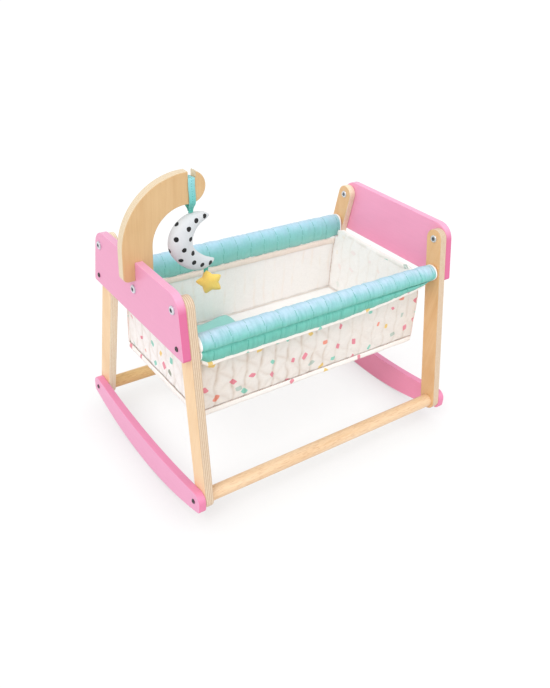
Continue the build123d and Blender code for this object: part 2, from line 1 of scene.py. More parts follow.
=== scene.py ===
"""Doll's rocking cradle: finishes, cloth and light around the solid frame.

Lengths are written in millimetres and turned into metres where a mesh, lamp or camera is made.
The axes are the frame's: +X from the head end to the foot end, +Y away from the camera, +Z up.
"""
import bmesh
import bpy
from math import atan2, ceil, cos, exp, hypot, pi, radians, sin, sqrt
from mathutils import Matrix, Vector, noise

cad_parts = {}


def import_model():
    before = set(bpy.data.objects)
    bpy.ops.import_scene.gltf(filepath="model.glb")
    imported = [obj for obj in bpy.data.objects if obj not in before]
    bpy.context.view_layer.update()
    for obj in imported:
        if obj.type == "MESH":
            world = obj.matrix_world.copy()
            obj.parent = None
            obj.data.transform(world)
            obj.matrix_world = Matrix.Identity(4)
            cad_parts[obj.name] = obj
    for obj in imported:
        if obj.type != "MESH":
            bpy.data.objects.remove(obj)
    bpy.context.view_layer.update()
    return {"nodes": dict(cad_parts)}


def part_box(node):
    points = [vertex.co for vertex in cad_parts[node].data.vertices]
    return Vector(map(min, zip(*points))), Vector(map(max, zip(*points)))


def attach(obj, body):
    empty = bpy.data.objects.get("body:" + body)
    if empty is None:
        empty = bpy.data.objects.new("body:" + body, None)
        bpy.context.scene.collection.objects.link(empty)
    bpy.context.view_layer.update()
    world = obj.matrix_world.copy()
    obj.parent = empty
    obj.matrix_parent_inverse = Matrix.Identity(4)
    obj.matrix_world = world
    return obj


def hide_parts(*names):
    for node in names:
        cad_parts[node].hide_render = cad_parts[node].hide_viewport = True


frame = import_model()

MM = 0.001
WHITE = (1.0, 1.0, 1.0, 1.0)
ENDS = ((-1, "head"), (1, "foot"))
SIDES = ((-1, "near"), (1, "far"))

# Camera, fitted to the corners of both end frames in a picture 688 pixels high
picture_height = 688
focal_pixels = 720.02
sensor_height = 36.0
camera_place = (-650.97, -866.06, 827.16)
camera_yaw, camera_pitch, camera_roll = -37.44, -31.97, 3.92


def box_mm(node):
    """Lowest and highest corners of a CAD node, in millimetres."""
    return tuple(Vector(corner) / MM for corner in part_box(node))


# Places taken from the frame
rail_low, rail_high = box_mm("far_rail")
middle_x = (rail_low.x + rail_high.x) / 2
rail_y = (rail_low.y + rail_high.y) / 2
rail_z = (rail_low.z + rail_high.z) / 2
rail_radius = (rail_high.z - rail_low.z) / 2
sleeve_half = (box_mm("far_sleeve")[1].x - box_mm("far_sleeve")[0].x) / 2
wall_low, wall_high = box_mm("basket_far_wall")
seam_z, wall_top = wall_low.z, wall_high.z
basket_half_x = (wall_high.x - wall_low.x) / 2
basket_half_y = box_mm("basket_floor")[1].y
wall_thick = basket_half_x - (box_mm("basket_foot_wall")[0].x - middle_x)
end_top = box_mm("basket_foot_wall")[1].z
floor_low = box_mm("basket_floor")[0].z
pad_low, pad_high = box_mm("mattress")
pillow_low, pillow_high = box_mm("pillow")
strap_low, strap_high = box_mm("strap_loop")
tab_low, tab_high = box_mm("moon_tab")
moon_low, moon_high = box_mm("moon")
star_tab_low, star_tab_high = box_mm("star_tab")
arm_high = box_mm("mobile_arm")[1]


# Meshes

def catmull(before, start, end, after, share):
    """A point on a smooth curve between start and end."""
    return 0.5 * (2 * start + (end - before) * share
                  + (2 * before - 5 * start + 4 * end - after) * share ** 2
                  + (3 * start - before - 3 * end + after) * share ** 3)


def smooth_curve(points, steps, closed=False):
    """A smooth curve through points, with equal steps between them."""
    points = [Vector(point) for point in points]
    if closed:
        knots = [points[-1], *points, *points[:2]]
    else:
        knots = [2 * points[0] - points[1], *points, 2 * points[-1] - points[-2]]
    curve = [catmull(*knots[i:i + 4], step / steps) for i in range(len(knots) - 3) for step in range(steps)]
    return curve if closed else curve + [points[-1]]


def arc_lengths(points):
    """Running length along a line of points."""
    lengths = [0.0]
    for first, second in zip(points, points[1:]):
        lengths.append(lengths[-1] + (second - first).length)
    return lengths


def add(name, data):
    """Puts a mesh, lamp or camera into the scene, at the origin."""
    thing = bpy.data.objects.new(name, data)
    bpy.context.scene.collection.objects.link(thing)
    return thing


def skin(name, rings, loop=False, uv=None, slot_of=None, relief=None):
    """A mesh over closed rings of points, smooth, with flat ends unless the rings form a loop.

    uv and slot_of are functions of a ring and a place on it, and relief holds a height for each
    point, which the materials read.
    """
    count, turns = len(rings), len(rings[0])
    mesh = bpy.data.meshes.new(name)
    faces, corners = [], []
    for i in range(count if loop else count - 1):
        for j in range(turns):
            k, m = (i + 1) % count, (j + 1) % turns
            faces.append((i * turns + j, k * turns + j, k * turns + m, i * turns + m))
            corners.append(((i, j), (i + 1, j), (i + 1, j + 1), (i, j + 1)))
    for i in () if loop else (0, count - 1):
        for j in range(turns // 2 - 1):
            cap = list(dict.fromkeys((j, j + 1, turns - 2 - j, turns - 1 - j)))
            faces.append([i * turns + k for k in cap])
            corners.append([(i, k) for k in cap])
    mesh.from_pydata([point * MM for ring in rings for point in ring], [], faces)
    if uv:
        layer = mesh.uv_layers.new(name="cloth")
        layer.data.foreach_set("uv", [value * MM for face in corners for i, j in face for value in uv(i, j)])
    if relief:
        layer = mesh.attributes.new("relief", "FLOAT", "POINT")
        layer.data.foreach_set("value", [value for ring in relief for value in ring])
    if slot_of:
        mesh.polygons.foreach_set("material_index", [slot_of(*face[0]) for face in corners])
    outward = bmesh.new()
    outward.from_mesh(mesh)
    bmesh.ops.recalc_face_normals(outward, faces=outward.faces)
    outward.to_mesh(mesh)
    outward.free()
    mesh.shade_smooth()
    return add(name, mesh)


def tube(name, path, radius, turns=8, closed=True):
    """A round cord along a path of points. radius may be a function of the place on the path."""
    rings = []
    count = len(path)
    side = None
    for i, point in enumerate(path):
        ahead = path[(i + 1) % count] if closed or i < count - 1 else point
        behind = path[i - 1] if closed or i > 0 else point
        along = (ahead - behind).normalized()
        if side is None:
            side = along.orthogonal().normalized()
        side = (side - along * side.dot(along)).normalized()
        up = along.cross(side)
        size = radius(i) if callable(radius) else radius
        rings.append([
            point + (side * cos(2 * pi * j / turns) + up * sin(2 * pi * j / turns)) * size
            for j in range(turns)
        ])
    lengths = arc_lengths(path + path[:1])
    return skin(name, rings, loop=closed, uv=lambda i, j: (lengths[i], 2 * pi * j / turns))


def strip(name, first, last, steps, ring_at, pitch, start=(0, 0)):
    """A long thin piece whose section at each place from first to last is ring_at(place).

    On the flat cloth it begins at start, with the section's points pitch apart.
    """
    places = [first + (last - first) * i / steps for i in range(steps + 1)]
    rings = [ring_at(place) for place in places]
    return skin(name, rings, uv=lambda i, j: (places[i] + start[0], pitch * j + start[1]))


def rounded_loop(half_x, half_y, radius, step=None, counts=None):
    """Points round a rectangle with round corners, with the outward direction at each.

    They are step apart, or counts gives how many lie along X, along Y and round a corner.
    """
    sizes = (2 * (half_x - radius), 2 * (half_y - radius))
    straight = Vector(sizes) / 2
    if counts is None:
        counts = (ceil(sizes[0] / step), ceil(sizes[1] / step), max(4, ceil(radius * pi / 2 / step)))
    points = []
    for number, outward in enumerate(((0, -1), (1, 0), (0, 1), (-1, 0))):
        outward = Vector(outward)
        along = Vector((-outward.y, outward.x))
        length, steps = sizes[number % 2], counts[number % 2]
        start = (outward - along) * straight + outward * radius
        corner = (outward + along) * straight
        points += [(start + along * length * k / steps, outward) for k in range(steps)]
        for k in range(counts[2]):
            turn = pi / 2 * k / counts[2]
            direction = outward * cos(turn) + along * sin(turn)
            points.append((corner + direction * radius, direction))
    return points


def ripple(x, y, z, size):
    """Smooth noise from -1 to 1 whose waves are about size long."""
    return noise.noise(Vector((x, y, z)) / size)


def smoothstep(value, low, high):
    """0 below low, 1 above high and a soft step between."""
    share = min(max((value - low) / (high - low), 0.0), 1.0)
    return share * share * (3 - 2 * share)


# Materials

def tone(red, green, blue):
    """A colour given in picture values, as the shaders want it."""
    def linear(value):
        value /= 255
        return value / 12.92 if value <= 0.04045 else ((value + 0.055) / 1.055) ** 2.4
    return linear(red), linear(green), linear(blue), 1.0


def math_node(operation):
    """An operator of Value that adds a math node."""
    return lambda value, other=0.0: value.math(operation, value, other)


class Value:
    """What a node gives out. Sums and comparisons written with it become nodes too."""

    def __init__(self, wiring, socket):
        self.math = wiring.math
        self.socket = socket

    def __rsub__(self, other):
        return self.math("SUBTRACT", other, self)

    __add__ = math_node("ADD")
    __sub__ = math_node("SUBTRACT")
    __mul__ = math_node("MULTIPLY")
    __truediv__ = math_node("DIVIDE")
    __pow__ = math_node("POWER")
    __lt__ = math_node("LESS_THAN")
    __gt__ = math_node("GREATER_THAN")
    __abs__ = math_node("ABSOLUTE")


class Wiring:
    """Nodes of a material or world, added one by one."""

    def __init__(self, owner):
        owner.use_nodes = True
        self.tree = owner.node_tree
        self.tree.nodes.clear()

    def feed(self, socket, value):
        """Sets an input, or links it to another node's output."""
        if isinstance(value, Value):
            self.tree.links.new(value.socket, socket)
        elif value is not None:
            socket.default_value = value

    def node(self, kind, *values, named=(), **settings):
        """A node with its settings, its first inputs and its named ones."""
        node = self.tree.nodes.new("ShaderNode" + kind)
        for name, value in settings.items():
            setattr(node, name, value)
        for socket, value in zip(node.inputs, values):
            self.feed(socket, value)
        for name, value in dict(named).items():
            self.feed(node.inputs[name], value)
        return node

    def out(self, kind, *values, which=0, **settings):
        """The output of a new node."""
        return Value(self, self.node(kind, *values, **settings).outputs[which])

    def math(self, operation, first, second=0.0):
        return self.out("Math", first, second, operation=operation)

    def between(self, value, low, high, first=0.0, last=1.0):
        """first below low, last above high and a straight run between."""
        return self.out("MapRange", value, low, high, first, last)

    def seen_by(self, *kinds):
        """1 for rays of these kinds."""
        rays = self.node("LightPath").outputs
        share = 0.0
        for kind in kinds:
            share = self.math("MAXIMUM", Value(self, rays[f"Is {kind} Ray"]), share)
        return share

    def close(self, shader, output="OutputMaterial"):
        """Links the finished shader to the output."""
        self.feed(self.node(output).inputs[0], shader)


class Look(Wiring):
    """A material's nodes."""

    def __init__(self, name):
        self.material = bpy.data.materials.new(name)
        super().__init__(self.material)
        coordinates = self.node("TexCoord").outputs
        self.place = Value(self, coordinates["Object"])
        self.normal = Value(self, coordinates["Normal"])

    def flat(self):
        """Places on the flat cloth, in metres."""
        return self.out("UVMap", uv_map="cloth")

    def axes(self, vector):
        """The three parts of a vector or colour."""
        return [Value(self, socket) for socket in self.node("SeparateXYZ", vector).outputs]

    def facing(self, axis):
        """1 where the surface faces along an axis, 0 on the edges across it."""
        return abs(self.axes(self.normal)[axis]) > 0.8

    def noise(self, scale, detail=3.0, roughness=0.5, stretch=None, at=None):
        """Cloudy noise from 0 to 1, drawn out along the axes whose stretch is below 1."""
        at = at or self.place
        if stretch:
            at = self.out("Mapping", at, (0, 0, 0), (0, 0, 0), stretch)
        return self.out("TexNoise", at, None, scale, detail, roughness)

    def mix(self, share, first, second, way="MIX"):
        return self.out("MixRGB", share, first, second, blend_type=way)

    def ramp(self, value, stops, interpolation="LINEAR"):
        """A colour ramp from (place, colour) stops."""
        node = self.node("ValToRGB", value)
        elements = node.color_ramp.elements
        node.color_ramp.interpolation = interpolation
        while len(elements) < len(stops):
            elements.new(0.5)
        for element, (place, colour) in zip(elements, stops):
            element.position = place
            element.color = colour
        return Value(self, node.outputs[0])

    def stained(self, colour, share, by, low, high, stain, interpolation="LINEAR"):
        """A colour, darkened by a stain where by is below low and clean where it is above high."""
        shade = self.ramp(by, ((low, stain), (high, WHITE)), interpolation)
        return self.mix(share, colour, shade, "MULTIPLY")

    def bump(self, height, distance, strength, under=None):
        named = {"Height": height, "Distance": distance * MM, "Strength": strength, "Normal": under}
        return self.out("Bump", named=named)

    def finish(self, colour, roughness, normal, **more):
        """Closes the material with its shader."""
        named = {"Base Color": colour, "Roughness": roughness, "Normal": normal}
        named.update({name.replace("_", " "): value for name, value in more.items()})
        self.close(self.out("BsdfPrincipled", named=named))
        return self.material


def pink_paint(name, face_dark, face_light, edge_side, edge_top_lit):
    """Satin paint, a little mottled and scuffed, its own tone on the boards' edges, with a painted highlight
    on edges facing up.
    """
    look = Look(name)
    mottle = look.noise(14.0)
    # Edges facing up take the lighter edge tone: a painted highlight of the light from above.
    edge = look.mix(look.between(look.axes(look.normal)[2], 0.1, 0.8), edge_side, edge_top_lit)
    colour = look.mix(look.facing(0), edge, look.mix(mottle, face_dark, face_light))
    grain = look.noise(260.0, 4.0, stretch=(1.0, 0.12, 1.0))
    colour = look.stained(colour, 0.06, grain, 0.3, 0.7, tone(200, 190, 195))
    scuffs = look.between(look.noise(60.0, 5.0, 0.7), 0.66, 0.74)
    colour = look.mix(scuffs * 0.3, colour, tone(252, 212, 230))
    peel = look.bump(look.noise(900.0, 2.0), 0.03, 0.35)
    rough = look.between(mottle, 0.0, 1.0, 0.34, 0.46)
    return look.finish(colour, rough, look.bump(grain, 0.05, 0.4, peel), Coat_Weight=0.1, Coat_Roughness=0.3)


edge_layers = (tone(218, 198, 166), tone(235, 219, 190), tone(246, 233, 208))
# The near legs' layers are darker and the far legs' lighter than the arm's: painted shade and painted light
# on one plywood.
near_layers_shaded = (tone(206, 180, 152), tone(223, 202, 176), tone(235, 218, 196))
far_layers_lit = (tone(238, 220, 188), tone(250, 238, 212), tone(255, 247, 228))
layer_pitch = 3.0           # two of the plywood's layers


def plywood(name, across, turn, face_light, face_dark, edges):
    """Lacquered plywood: veneer grain on its faces and pale layers on its edges.

    across is the axis through the layers, turn the angle of the grain from upright and edges
    the tones of the layers.
    """
    look = Look(name)
    turned = look.out("Mapping", look.place, (0, 0, 0), (turn, 0, 0))
    streaks = look.noise(70.0, 4.0, 0.55, stretch=(1.0, 1.0, 0.06), at=turned)
    bands = (streaks + look.noise(16.0, 2.0)) * 0.5
    pores = look.noise(900.0, 3.0, 0.7, stretch=(1.0, 1.0, 0.02), at=turned)
    veneer = look.ramp(bands, ((0.32, face_dark), (0.62, face_light)))
    veneer = look.stained(veneer, 0.10, pores, 0.35, 0.6, tone(190, 140, 95))
    depth = look.axes(look.place)[across] + look.noise(30.0, 2.0) * (0.4 * MM)
    layer = look.math("SINE", depth * (2 * pi / (layer_pitch * MM)))
    layers = look.ramp(layer, tuple(zip((0.15, 0.5, 0.9), edges)))
    layers = look.mix((layer > 0.93) * 0.35, layers, tone(206, 172, 126))
    fibres = look.noise(600.0, stretch=(1.0, 1.0, 0.1), at=turned)
    layers = look.stained(layers, 0.2, fibres, 0.35, 0.6, tone(225, 195, 150))
    face = look.facing(across)
    normal = look.bump(pores, 0.06, 0.35, look.bump(layer * (1.0 - face), 0.05, 0.3))
    rough = look.between(bands, 0.0, 1.0, 0.38, 0.5)
    return look.finish(look.mix(face, layers, veneer), rough, normal, Coat_Weight=0.12, Coat_Roughness=0.3)


def beech(name, light, dark):
    """Turned beech with its short dark flecks, the grain along X."""
    look = Look(name)
    bands = look.noise(130.0, 4.0, 0.6, stretch=(0.05, 1.0, 1.0))
    flecks = look.noise(700.0, 2.0, 0.6, stretch=(0.12, 1.0, 1.0))
    colour = look.ramp(bands, ((0.3, dark), (0.65, light)))
    colour = look.stained(colour, 0.3, flecks, 0.32, 0.5, tone(190, 135, 85))
    return look.finish(colour, 0.42, look.bump(flecks, 0.05, 0.3), Coat_Weight=0.12, Coat_Roughness=0.3)


def steel(name, colour, roughness, bolts=(), socket=0.0):
    """Plated metal with fine turning marks and dull spots. bolts are the bolts' places in Y and Z,
    where a dark six-sided patch is painted as the shade down in a socket."""
    look = Look(name)
    marks = look.noise(2600.0, stretch=(0.2, 1.0, 1.0))
    shade = look.stained(colour, 0.5, look.noise(300.0, 2.0), 0.3, 0.6, tone(200, 200, 205))
    place = look.axes(look.place)
    socket_shade = 0.0
    # A dark six-sided patch on each bolt: painted shade that stands in for the socket's recess.
    for y, z in bolts:
        aside = abs(place[1]) - y * MM
        up = place[2] - z * MM
        reach = abs(aside)
        for turn in (radians(60), radians(120)):
            reach = look.math("MAXIMUM", reach, abs(aside * cos(turn) + up * sin(turn)))
        socket_shade = look.math("MAXIMUM", reach < socket * MM, socket_shade)
    shade = look.mix(socket_shade * 0.85, shade, tone(58, 62, 70))
    rough = look.between(marks, 0.2, 0.8, roughness - 0.08, roughness + 0.12)
    return look.finish(shade, rough, look.bump(marks, 0.03, 0.4), Metallic=0.6)


fleck_length, fleck_width = 11.5, 7.8
fleck_tones = (
    (0.0, tone(234, 130, 150)), (0.2, tone(242, 204, 108)), (0.36, tone(132, 212, 192)),
    (0.55, tone(242, 146, 124)), (0.7, tone(184, 202, 192)), (0.8, tone(142, 150, 132)),
    (0.85, tone(236, 138, 158)),
)


def scattered_flecks(look, spacing):
    """Cut-paper flecks strewn over the cloth: (mask, colour)."""
    flat = look.flat()
    cells = look.node("TexVoronoi", flat, None, 1 / (spacing * MM), named={"Randomness": 0.8},
                      voronoi_dimensions="2D").outputs
    chance = look.axes(Value(look, cells["Color"]))
    offset = look.out("VectorMath", flat, Value(look, cells["Position"]), operation="SUBTRACT")
    turned = look.out("VectorRotate", offset, (0, 0, 0), (0, 0, 1), chance[0] * (2 * pi))
    along, across, _ = look.axes(turned)
    leaning = along + across * ((chance[1] - 0.5) * 0.9)
    length_edge = (abs(leaning) / (fleck_length * MM / 2)) ** 5.0
    width_edge = (abs(across) / (fleck_width * MM / 2)) ** 5.0
    edge = (length_edge + width_edge) ** 0.2 + look.noise(500.0, 1.0, at=flat) * 0.2
    return edge < chance[2] * 0.45 + 0.75, look.ramp(chance[1], fleck_tones, "CONSTANT")


def plain_cloth(look, colour, pitch, wrinkle, groove_shade=None, gathers=None, rough=0.85, sheen=0.15):
    """Closes a cloth material: uneven yarns, a plain weave and small creases. The tone for a quilted
    piece's sewn lines is painted shade down in them, and gathers a height of fine gathers."""
    flat = look.flat()
    if groove_shade:
        # Painted shade in the sewn lines of the quilting, darkest where the relief is lowest and faded by
        # noise in places.
        relief = look.out("Attribute", attribute_name="relief", which="Fac")
        painted_shade_share = look.between(look.noise(45.0, 2.0, at=flat), 0.3, 0.65, 0.25, 1.0)
        colour = look.stained(colour, painted_shade_share, relief, 0.1, 0.9, groove_shade, "EASE")
    yarn = look.noise(900.0, 2.0, stretch=(1.0, 0.12, 1.0), at=flat)
    pick = look.noise(900.0, 2.0, stretch=(0.12, 1.0, 1.0), at=flat)
    uneven = (yarn + pick) * 0.5
    colour = look.stained(colour, 0.35, uneven, 0.35, 0.62, tone(230, 230, 232))
    normal = look.bump(look.noise(70.0, 4.0, 0.6), wrinkle, 0.5)
    if gathers:
        normal = look.bump(gathers, 1.6, 0.55, normal)
    over, under = [look.math("SINE", axis * (2 * pi / (pitch * MM))) for axis in look.axes(flat)[:2]]
    normal = look.bump(over * under, 0.06, 0.5, look.bump(uneven, 0.12, 0.4, normal))
    return look.finish(colour, rough, normal, Sheen_Weight=sheen, Sheen_Roughness=0.5)


def confetti_cloth(name, base, shade, strength, spacing=36.0, groove_shade=None):
    """Off-white cotton, clouded between two tones, with cut-paper flecks."""
    look = Look(name)
    mask, colours = scattered_flecks(look, spacing)
    ground = look.mix(look.noise(22.0), base, shade)
    return plain_cloth(look, look.mix(mask * strength, ground, colours), 0.7, 0.9, groove_shade)


def pad_cloth(name, light, dark, wrinkle=0.6, groove_shade=None):
    """Plain cotton in one colour, a little uneven."""
    look = Look(name)
    return plain_cloth(look, look.mix(look.noise(28.0), light, dark), 0.6, wrinkle, groove_shade)


stitch_pitch = 29.0
stitch_rows = (             # along the wrap from the sleeve's top: centre, half length, shift in pitches
    (-45.0, 4.5, 0.01), (-34.0, 5.0, 0.03), (-23.0, 4.5, -0.03), (-11.0, 4.5, 0.02), (1.0, 4.5, 0.0),
    (12.5, 5.0, 0.04), (23.5, 4.5, -0.02),
)
flap_rows = ((50.0, 13.0, 0.0),)


def dashes(look, flat, rows):
    """Short dark stitches across a sleeve, in rows as above."""
    along, around, _ = look.axes(flat)
    total = 0.0
    for centre, half, shift in rows:
        place = look.math("PINGPONG", along + shift * stitch_pitch * MM, stitch_pitch * MM / 2)
        dash = (place < 0.5 * MM) * (abs(around - centre * MM) < half * MM)
        total = look.math("MAXIMUM", dash, total)
    return total


def sleeve_cloth():
    """Aqua cotton with short stitches, painted light blue over the top where the light falls and mint below.
    """
    look = Look("teal_quilt")
    flat = look.flat()
    _, out, height = look.axes(look.place)
    uneven = (look.noise(45.0) - 0.5) * 0.012
    # Painted light: the cloth turns from mint below to light blue over the top, where the light falls.
    level = look.between(height + uneven, (rail_z - 20.0) * MM, (rail_z + 13.0) * MM)
    colour = look.ramp(level, ((0.0, tone(109, 194, 177)), (0.5, tone(120, 201, 189)),
                               (0.78, tone(152, 207, 212)), (1.0, tone(192, 221, 239))))
    # The hollows of the fine gathers are darkened: painted shade.
    fine = look.noise(230.0, 4.0, stretch=(1.0, 0.16, 1.0), at=flat)
    colour = look.stained(colour, 0.35, fine, 0.34, 0.56, tone(180, 212, 212))
    # The inner side has its own lighter ramp: painted light and shade on the same cloth.
    inner = look.between(abs(out), (rail_y + 3.0) * MM, (rail_y - 8.0) * MM)
    colour = look.mix(inner * 0.75, colour, look.ramp(level, (
        (0.0, tone(152, 212, 204)), (0.25, tone(138, 206, 199)), (0.6, tone(142, 208, 210)),
        (1.0, tone(166, 215, 232)))))
    for rows, share in ((stitch_rows, 0.6), (flap_rows, 0.9)):
        colour = look.mix(dashes(look, flat, rows) * share, colour, tone(48, 158, 140))
    return plain_cloth(look, colour, 0.6, 0.6, gathers=fine, rough=0.8, sheen=0.2)


def moon_cloth(dots):
    """Short white plush printed with black dots."""
    look = Look("moon_cloth")
    nearest = None
    for dot in dots:
        away = look.out("VectorMath", look.place, tuple(dot * MM), which="Value", operation="DISTANCE")
        nearest = look.math("MINIMUM", nearest, away) if nearest else away
    wobble = look.noise(420.0, 2.0) * (1.1 * MM)
    mask = nearest + wobble < (dot_radius + 0.55) * MM
    nap = look.noise(1400.0, 3.0, 0.7)
    colour = look.mix(mask, look.mix(nap, tone(208, 212, 216), tone(227, 230, 232)), tone(14, 14, 16))
    normal = look.bump(nap, 0.35, 0.5, look.bump(look.noise(160.0), 0.7, 0.4))
    return look.finish(colour, 0.9, normal, Sheen_Weight=0.12, Sheen_Roughness=0.6)


def star_cloth():
    """Fuzzy yellow felt."""
    look = Look("star_cloth")
    fibre = look.noise(1500.0, 4.0, 0.75)
    cloud = look.noise(110.0)
    colour = look.mix(cloud, tone(255, 229, 126), tone(255, 217, 102))
    colour = look.stained(colour, 0.4, fibre, 0.3, 0.6, tone(205, 200, 190))
    normal = look.bump(fibre, 0.3, 0.6, look.bump(cloud, 0.9, 0.35))
    return look.finish(colour, 0.92, normal, Sheen_Weight=0.35, Sheen_Roughness=0.5)


def ribbon_cloth():
    """Woven aqua ribbon with a row of small dark stitches along its middle."""
    look = Look("teal_ribbon")
    along, across, _ = look.axes(look.flat())
    stitches = (abs(across) < 0.75 * MM) * (look.math("PINGPONG", along, 1.9 * MM) < 0.75 * MM)
    # Lighter towards the top and darker lower down: painted light and shade on a ribbon of one aqua.
    height = look.between(look.axes(look.place)[2], strap_low.z * MM, (strap_high.z - 6.0) * MM)
    colour = look.ramp(height, ((0.0, tone(84, 190, 172)), (0.35, tone(112, 204, 196)),
                                (1.0, tone(150, 218, 222))))
    colour = look.mix(stitches * 0.55, colour, tone(64, 160, 152))
    ribs = look.math("SINE", along * (2 * pi / (0.5 * MM)))
    return look.finish(colour, 0.7, look.bump(ribs, 0.08, 0.6), Sheen_Weight=0.2, Sheen_Roughness=0.4)


def seam_thread():
    """Brown-red thread that shows as dots between white ones."""
    look = Look("seam_thread")
    dots = look.math("PINGPONG", look.axes(look.flat())[0], 1.5 * MM) < 0.85 * MM
    patch = look.between(look.noise(60.0, 2.0), 0.4, 0.6, 0.2, 0.8)
    colour = look.mix(dots * patch, tone(246, 236, 228), tone(166, 108, 94))
    return look.finish(colour, 0.85, look.bump(look.noise(1500.0, 2.0), 0.1, 0.5))


def brown_board():
    """Stiff grey-brown board with flecks of fibre."""
    look = Look("board")
    fibre = look.noise(500.0, 4.0, 0.7, stretch=(0.3, 1.0, 1.0))
    colour = look.mix(fibre, tone(168, 148, 120), tone(196, 178, 150))
    return look.finish(colour, 0.9, look.bump(fibre, 0.1, 0.5))


def dress(material, *nodes):
    """Gives CAD nodes their finish."""
    for node in nodes:
        materials = frame["nodes"][node].data.materials
        materials.clear()
        materials.append(material)


def settle(piece, slot, *materials, body="frame", nodes=()):
    """Gives a piece its materials and its body, and hides the nodes that it stands for. slot is not used."""
    for material in materials:
        piece.data.materials.append(material)
    if nodes:
        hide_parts(*nodes)
    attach(piece, body)
    return piece


# Sleeves

sleeve_outline = (          # outward and up from the rail's axis, from the top over the outer side
    (0.0, 13.2), (9.4, 9.9), (14.9, 3.8), (16.4, -2.0), (15.2, -6.8), (11.6, -9.6),
    (14.2, -13.4), (14.8, -20.5), (12.0, -29.0), (5.0, -35.2), (-3.6, -35.0), (-7.0, -31.0),
    (-13.6, -27.4), (-17.4, -22.0), (-18.0, -11.5), (-15.4, 1.2), (-9.2, 9.8),
)
outline_steps = 5
sleeve_middle = Vector((0, -12))
wrap_turn = 0.62            # share of the way round where the cloth's measure changes sides
flap_start = -9.4           # below this height, from the rail's axis, the outer cloth is the hanging flap
roll_reach = 15.5           # radius of the roll's underside where the flap has run out
flap_run_out, flap_end = 190.0, 15.0
ruche_height = 1.1          # of the fine gathers
sag_height = 0.7            # of the wide soft waves
box_height = 0.2            # of the puffs between two columns of stitches
stitch_depth = 0.5
stitch_half = 1.2           # half the width of a stitch's dent
mouth_steps = ((1.6, 0.06), (3.2, 0.2), (4.2, 0.45), (4.4, 0.8), (2.0, 1.0))    # out, share of the way in
strip_out, strip_up = 9.2, -31.6        # middle of the piping strip under the full flap


def flap_share(x):
    """How far down the flap hangs at a place along the sleeve: it runs out towards the foot end."""
    to_foot, to_head = sleeve_half - x, sleeve_half + x
    foot = sqrt(min(max((to_foot - flap_end) / flap_run_out, 0.002), 1.0))
    return min(foot, 0.7 + 0.3 * smoothstep(to_head, 0.0, 14.0))


def hung(out, up, hang):
    """Height of a place on the sleeve where only a share of the flap hangs down."""
    bottom = -sqrt(max(roll_reach ** 2 - (0.95 * out) ** 2, 0.0))
    outer = smoothstep(out, -12.0, -3.0)
    return up if up > flap_start else up + (max(bottom, up) - up) * (1 - hang) * outer


def sleeve_rise(x, s, side):
    """How far the cloth stands out at a place along the sleeve and s round it: gathers and stitches."""
    offset = (x + middle_x + stitch_pitch / 2) % stitch_pitch - stitch_pitch / 2
    gather = 0.3 + 0.7 * smoothstep(ripple(x, s, 70 + side, 24.0), -0.2, 0.4)
    rise = ruche_height * gather * ripple(x, s * 0.28 + side * 40, side * 7, 5.4)
    rise += 0.28 * ripple(x, s * 0.3, 9 + side, 3.6)
    rise += sag_height * ripple(x, s, side * 30, 30.0)
    rise -= box_height * cos(2 * pi * offset / stitch_pitch)
    for centre, half, shift in stitch_rows + flap_rows:
        aside = (offset + shift * stitch_pitch) / stitch_half
        rise -= stitch_depth * exp(-aside ** 2) * exp(-((s - centre) / half) ** 4)
    return rise


def mouth(ring, side, end):
    """Rings that round off a sleeve's end and lead back to its rail."""
    axis = Vector((ring[0].x, side * rail_y, rail_z))
    spokes = [point - axis for point in ring]
    rings = []
    for out, share in mouth_steps:
        centre = axis + Vector((end * out, 0, 0))
        rings.append([
            centre + spoke * (1 - share + share * (rail_radius + 0.2) / spoke.length) for spoke in spokes
        ])
    return rings


def sleeve(side, name):
    """A padded sleeve round a rail: a gathered roll, a stitched fold and a hanging flap."""
    outline = smooth_curve(sleeve_outline, outline_steps, closed=True)
    count = len(outline)
    lengths = arc_lengths(outline + outline[:1])
    total = lengths[-1]
    wrap = [length if length < total * wrap_turn else length - total for length in lengths]
    normals = []
    for j in range(count):
        along = outline[(j + 1) % count] - outline[j - 1]
        normal = Vector((-along.y, along.x)).normalized()
        normals.append(-normal if normal.dot(outline[j] - sleeve_middle) < 0 else normal)
    steps = ceil(2 * sleeve_half / (1.6))
    rings = []
    for i in range(steps + 1):
        x = -sleeve_half + 2 * sleeve_half * i / steps
        to_end = min(sleeve_half - x, sleeve_half + x)
        drawn = 1 - 0.08 * exp(-to_end / 7.0)
        hang = flap_share(x)
        ring = []
        for (y, z), normal, s in zip(outline, normals, wrap):
            rise = sleeve_rise(x, s, side) * smoothstep(to_end, 0.0, 5.0)
            ring.append(Vector((middle_x + x, side * (rail_y + (y + normal.x * rise) * drawn),
                                rail_z + (hung(y, z, hang) + normal.y * rise) * drawn)))
        rings.append(ring)
    head, foot = mouth(rings[0], side, -1), mouth(rings[-1], side, 1)
    all_rings = head[::-1] + rings + foot
    first, last = len(head), len(head) + len(rings) - 1

    def uv(i, j):
        return all_rings[i % len(all_rings)][0].x, (total if j == count else wrap[j])

    piece = skin(name, all_rings, loop=True, uv=uv, slot_of=lambda i, j: 0 if first <= i < last else 1)
    return piece, rings


def end_ring(rings, side, end, name):
    """The white binding round the end of a sleeve."""
    ring = rings[0] if end < 0 else rings[-1]
    centre = Vector((ring[0].x, side * rail_y, rail_z))
    path = [point + (centre - point).normalized() * 0.9 + Vector((end * 1.5, 0, 0)) for point in ring]
    return tube(name, path, lambda i: 1.4 + 0.2 * ripple(path[i].y, path[i].z, end, 6.0))


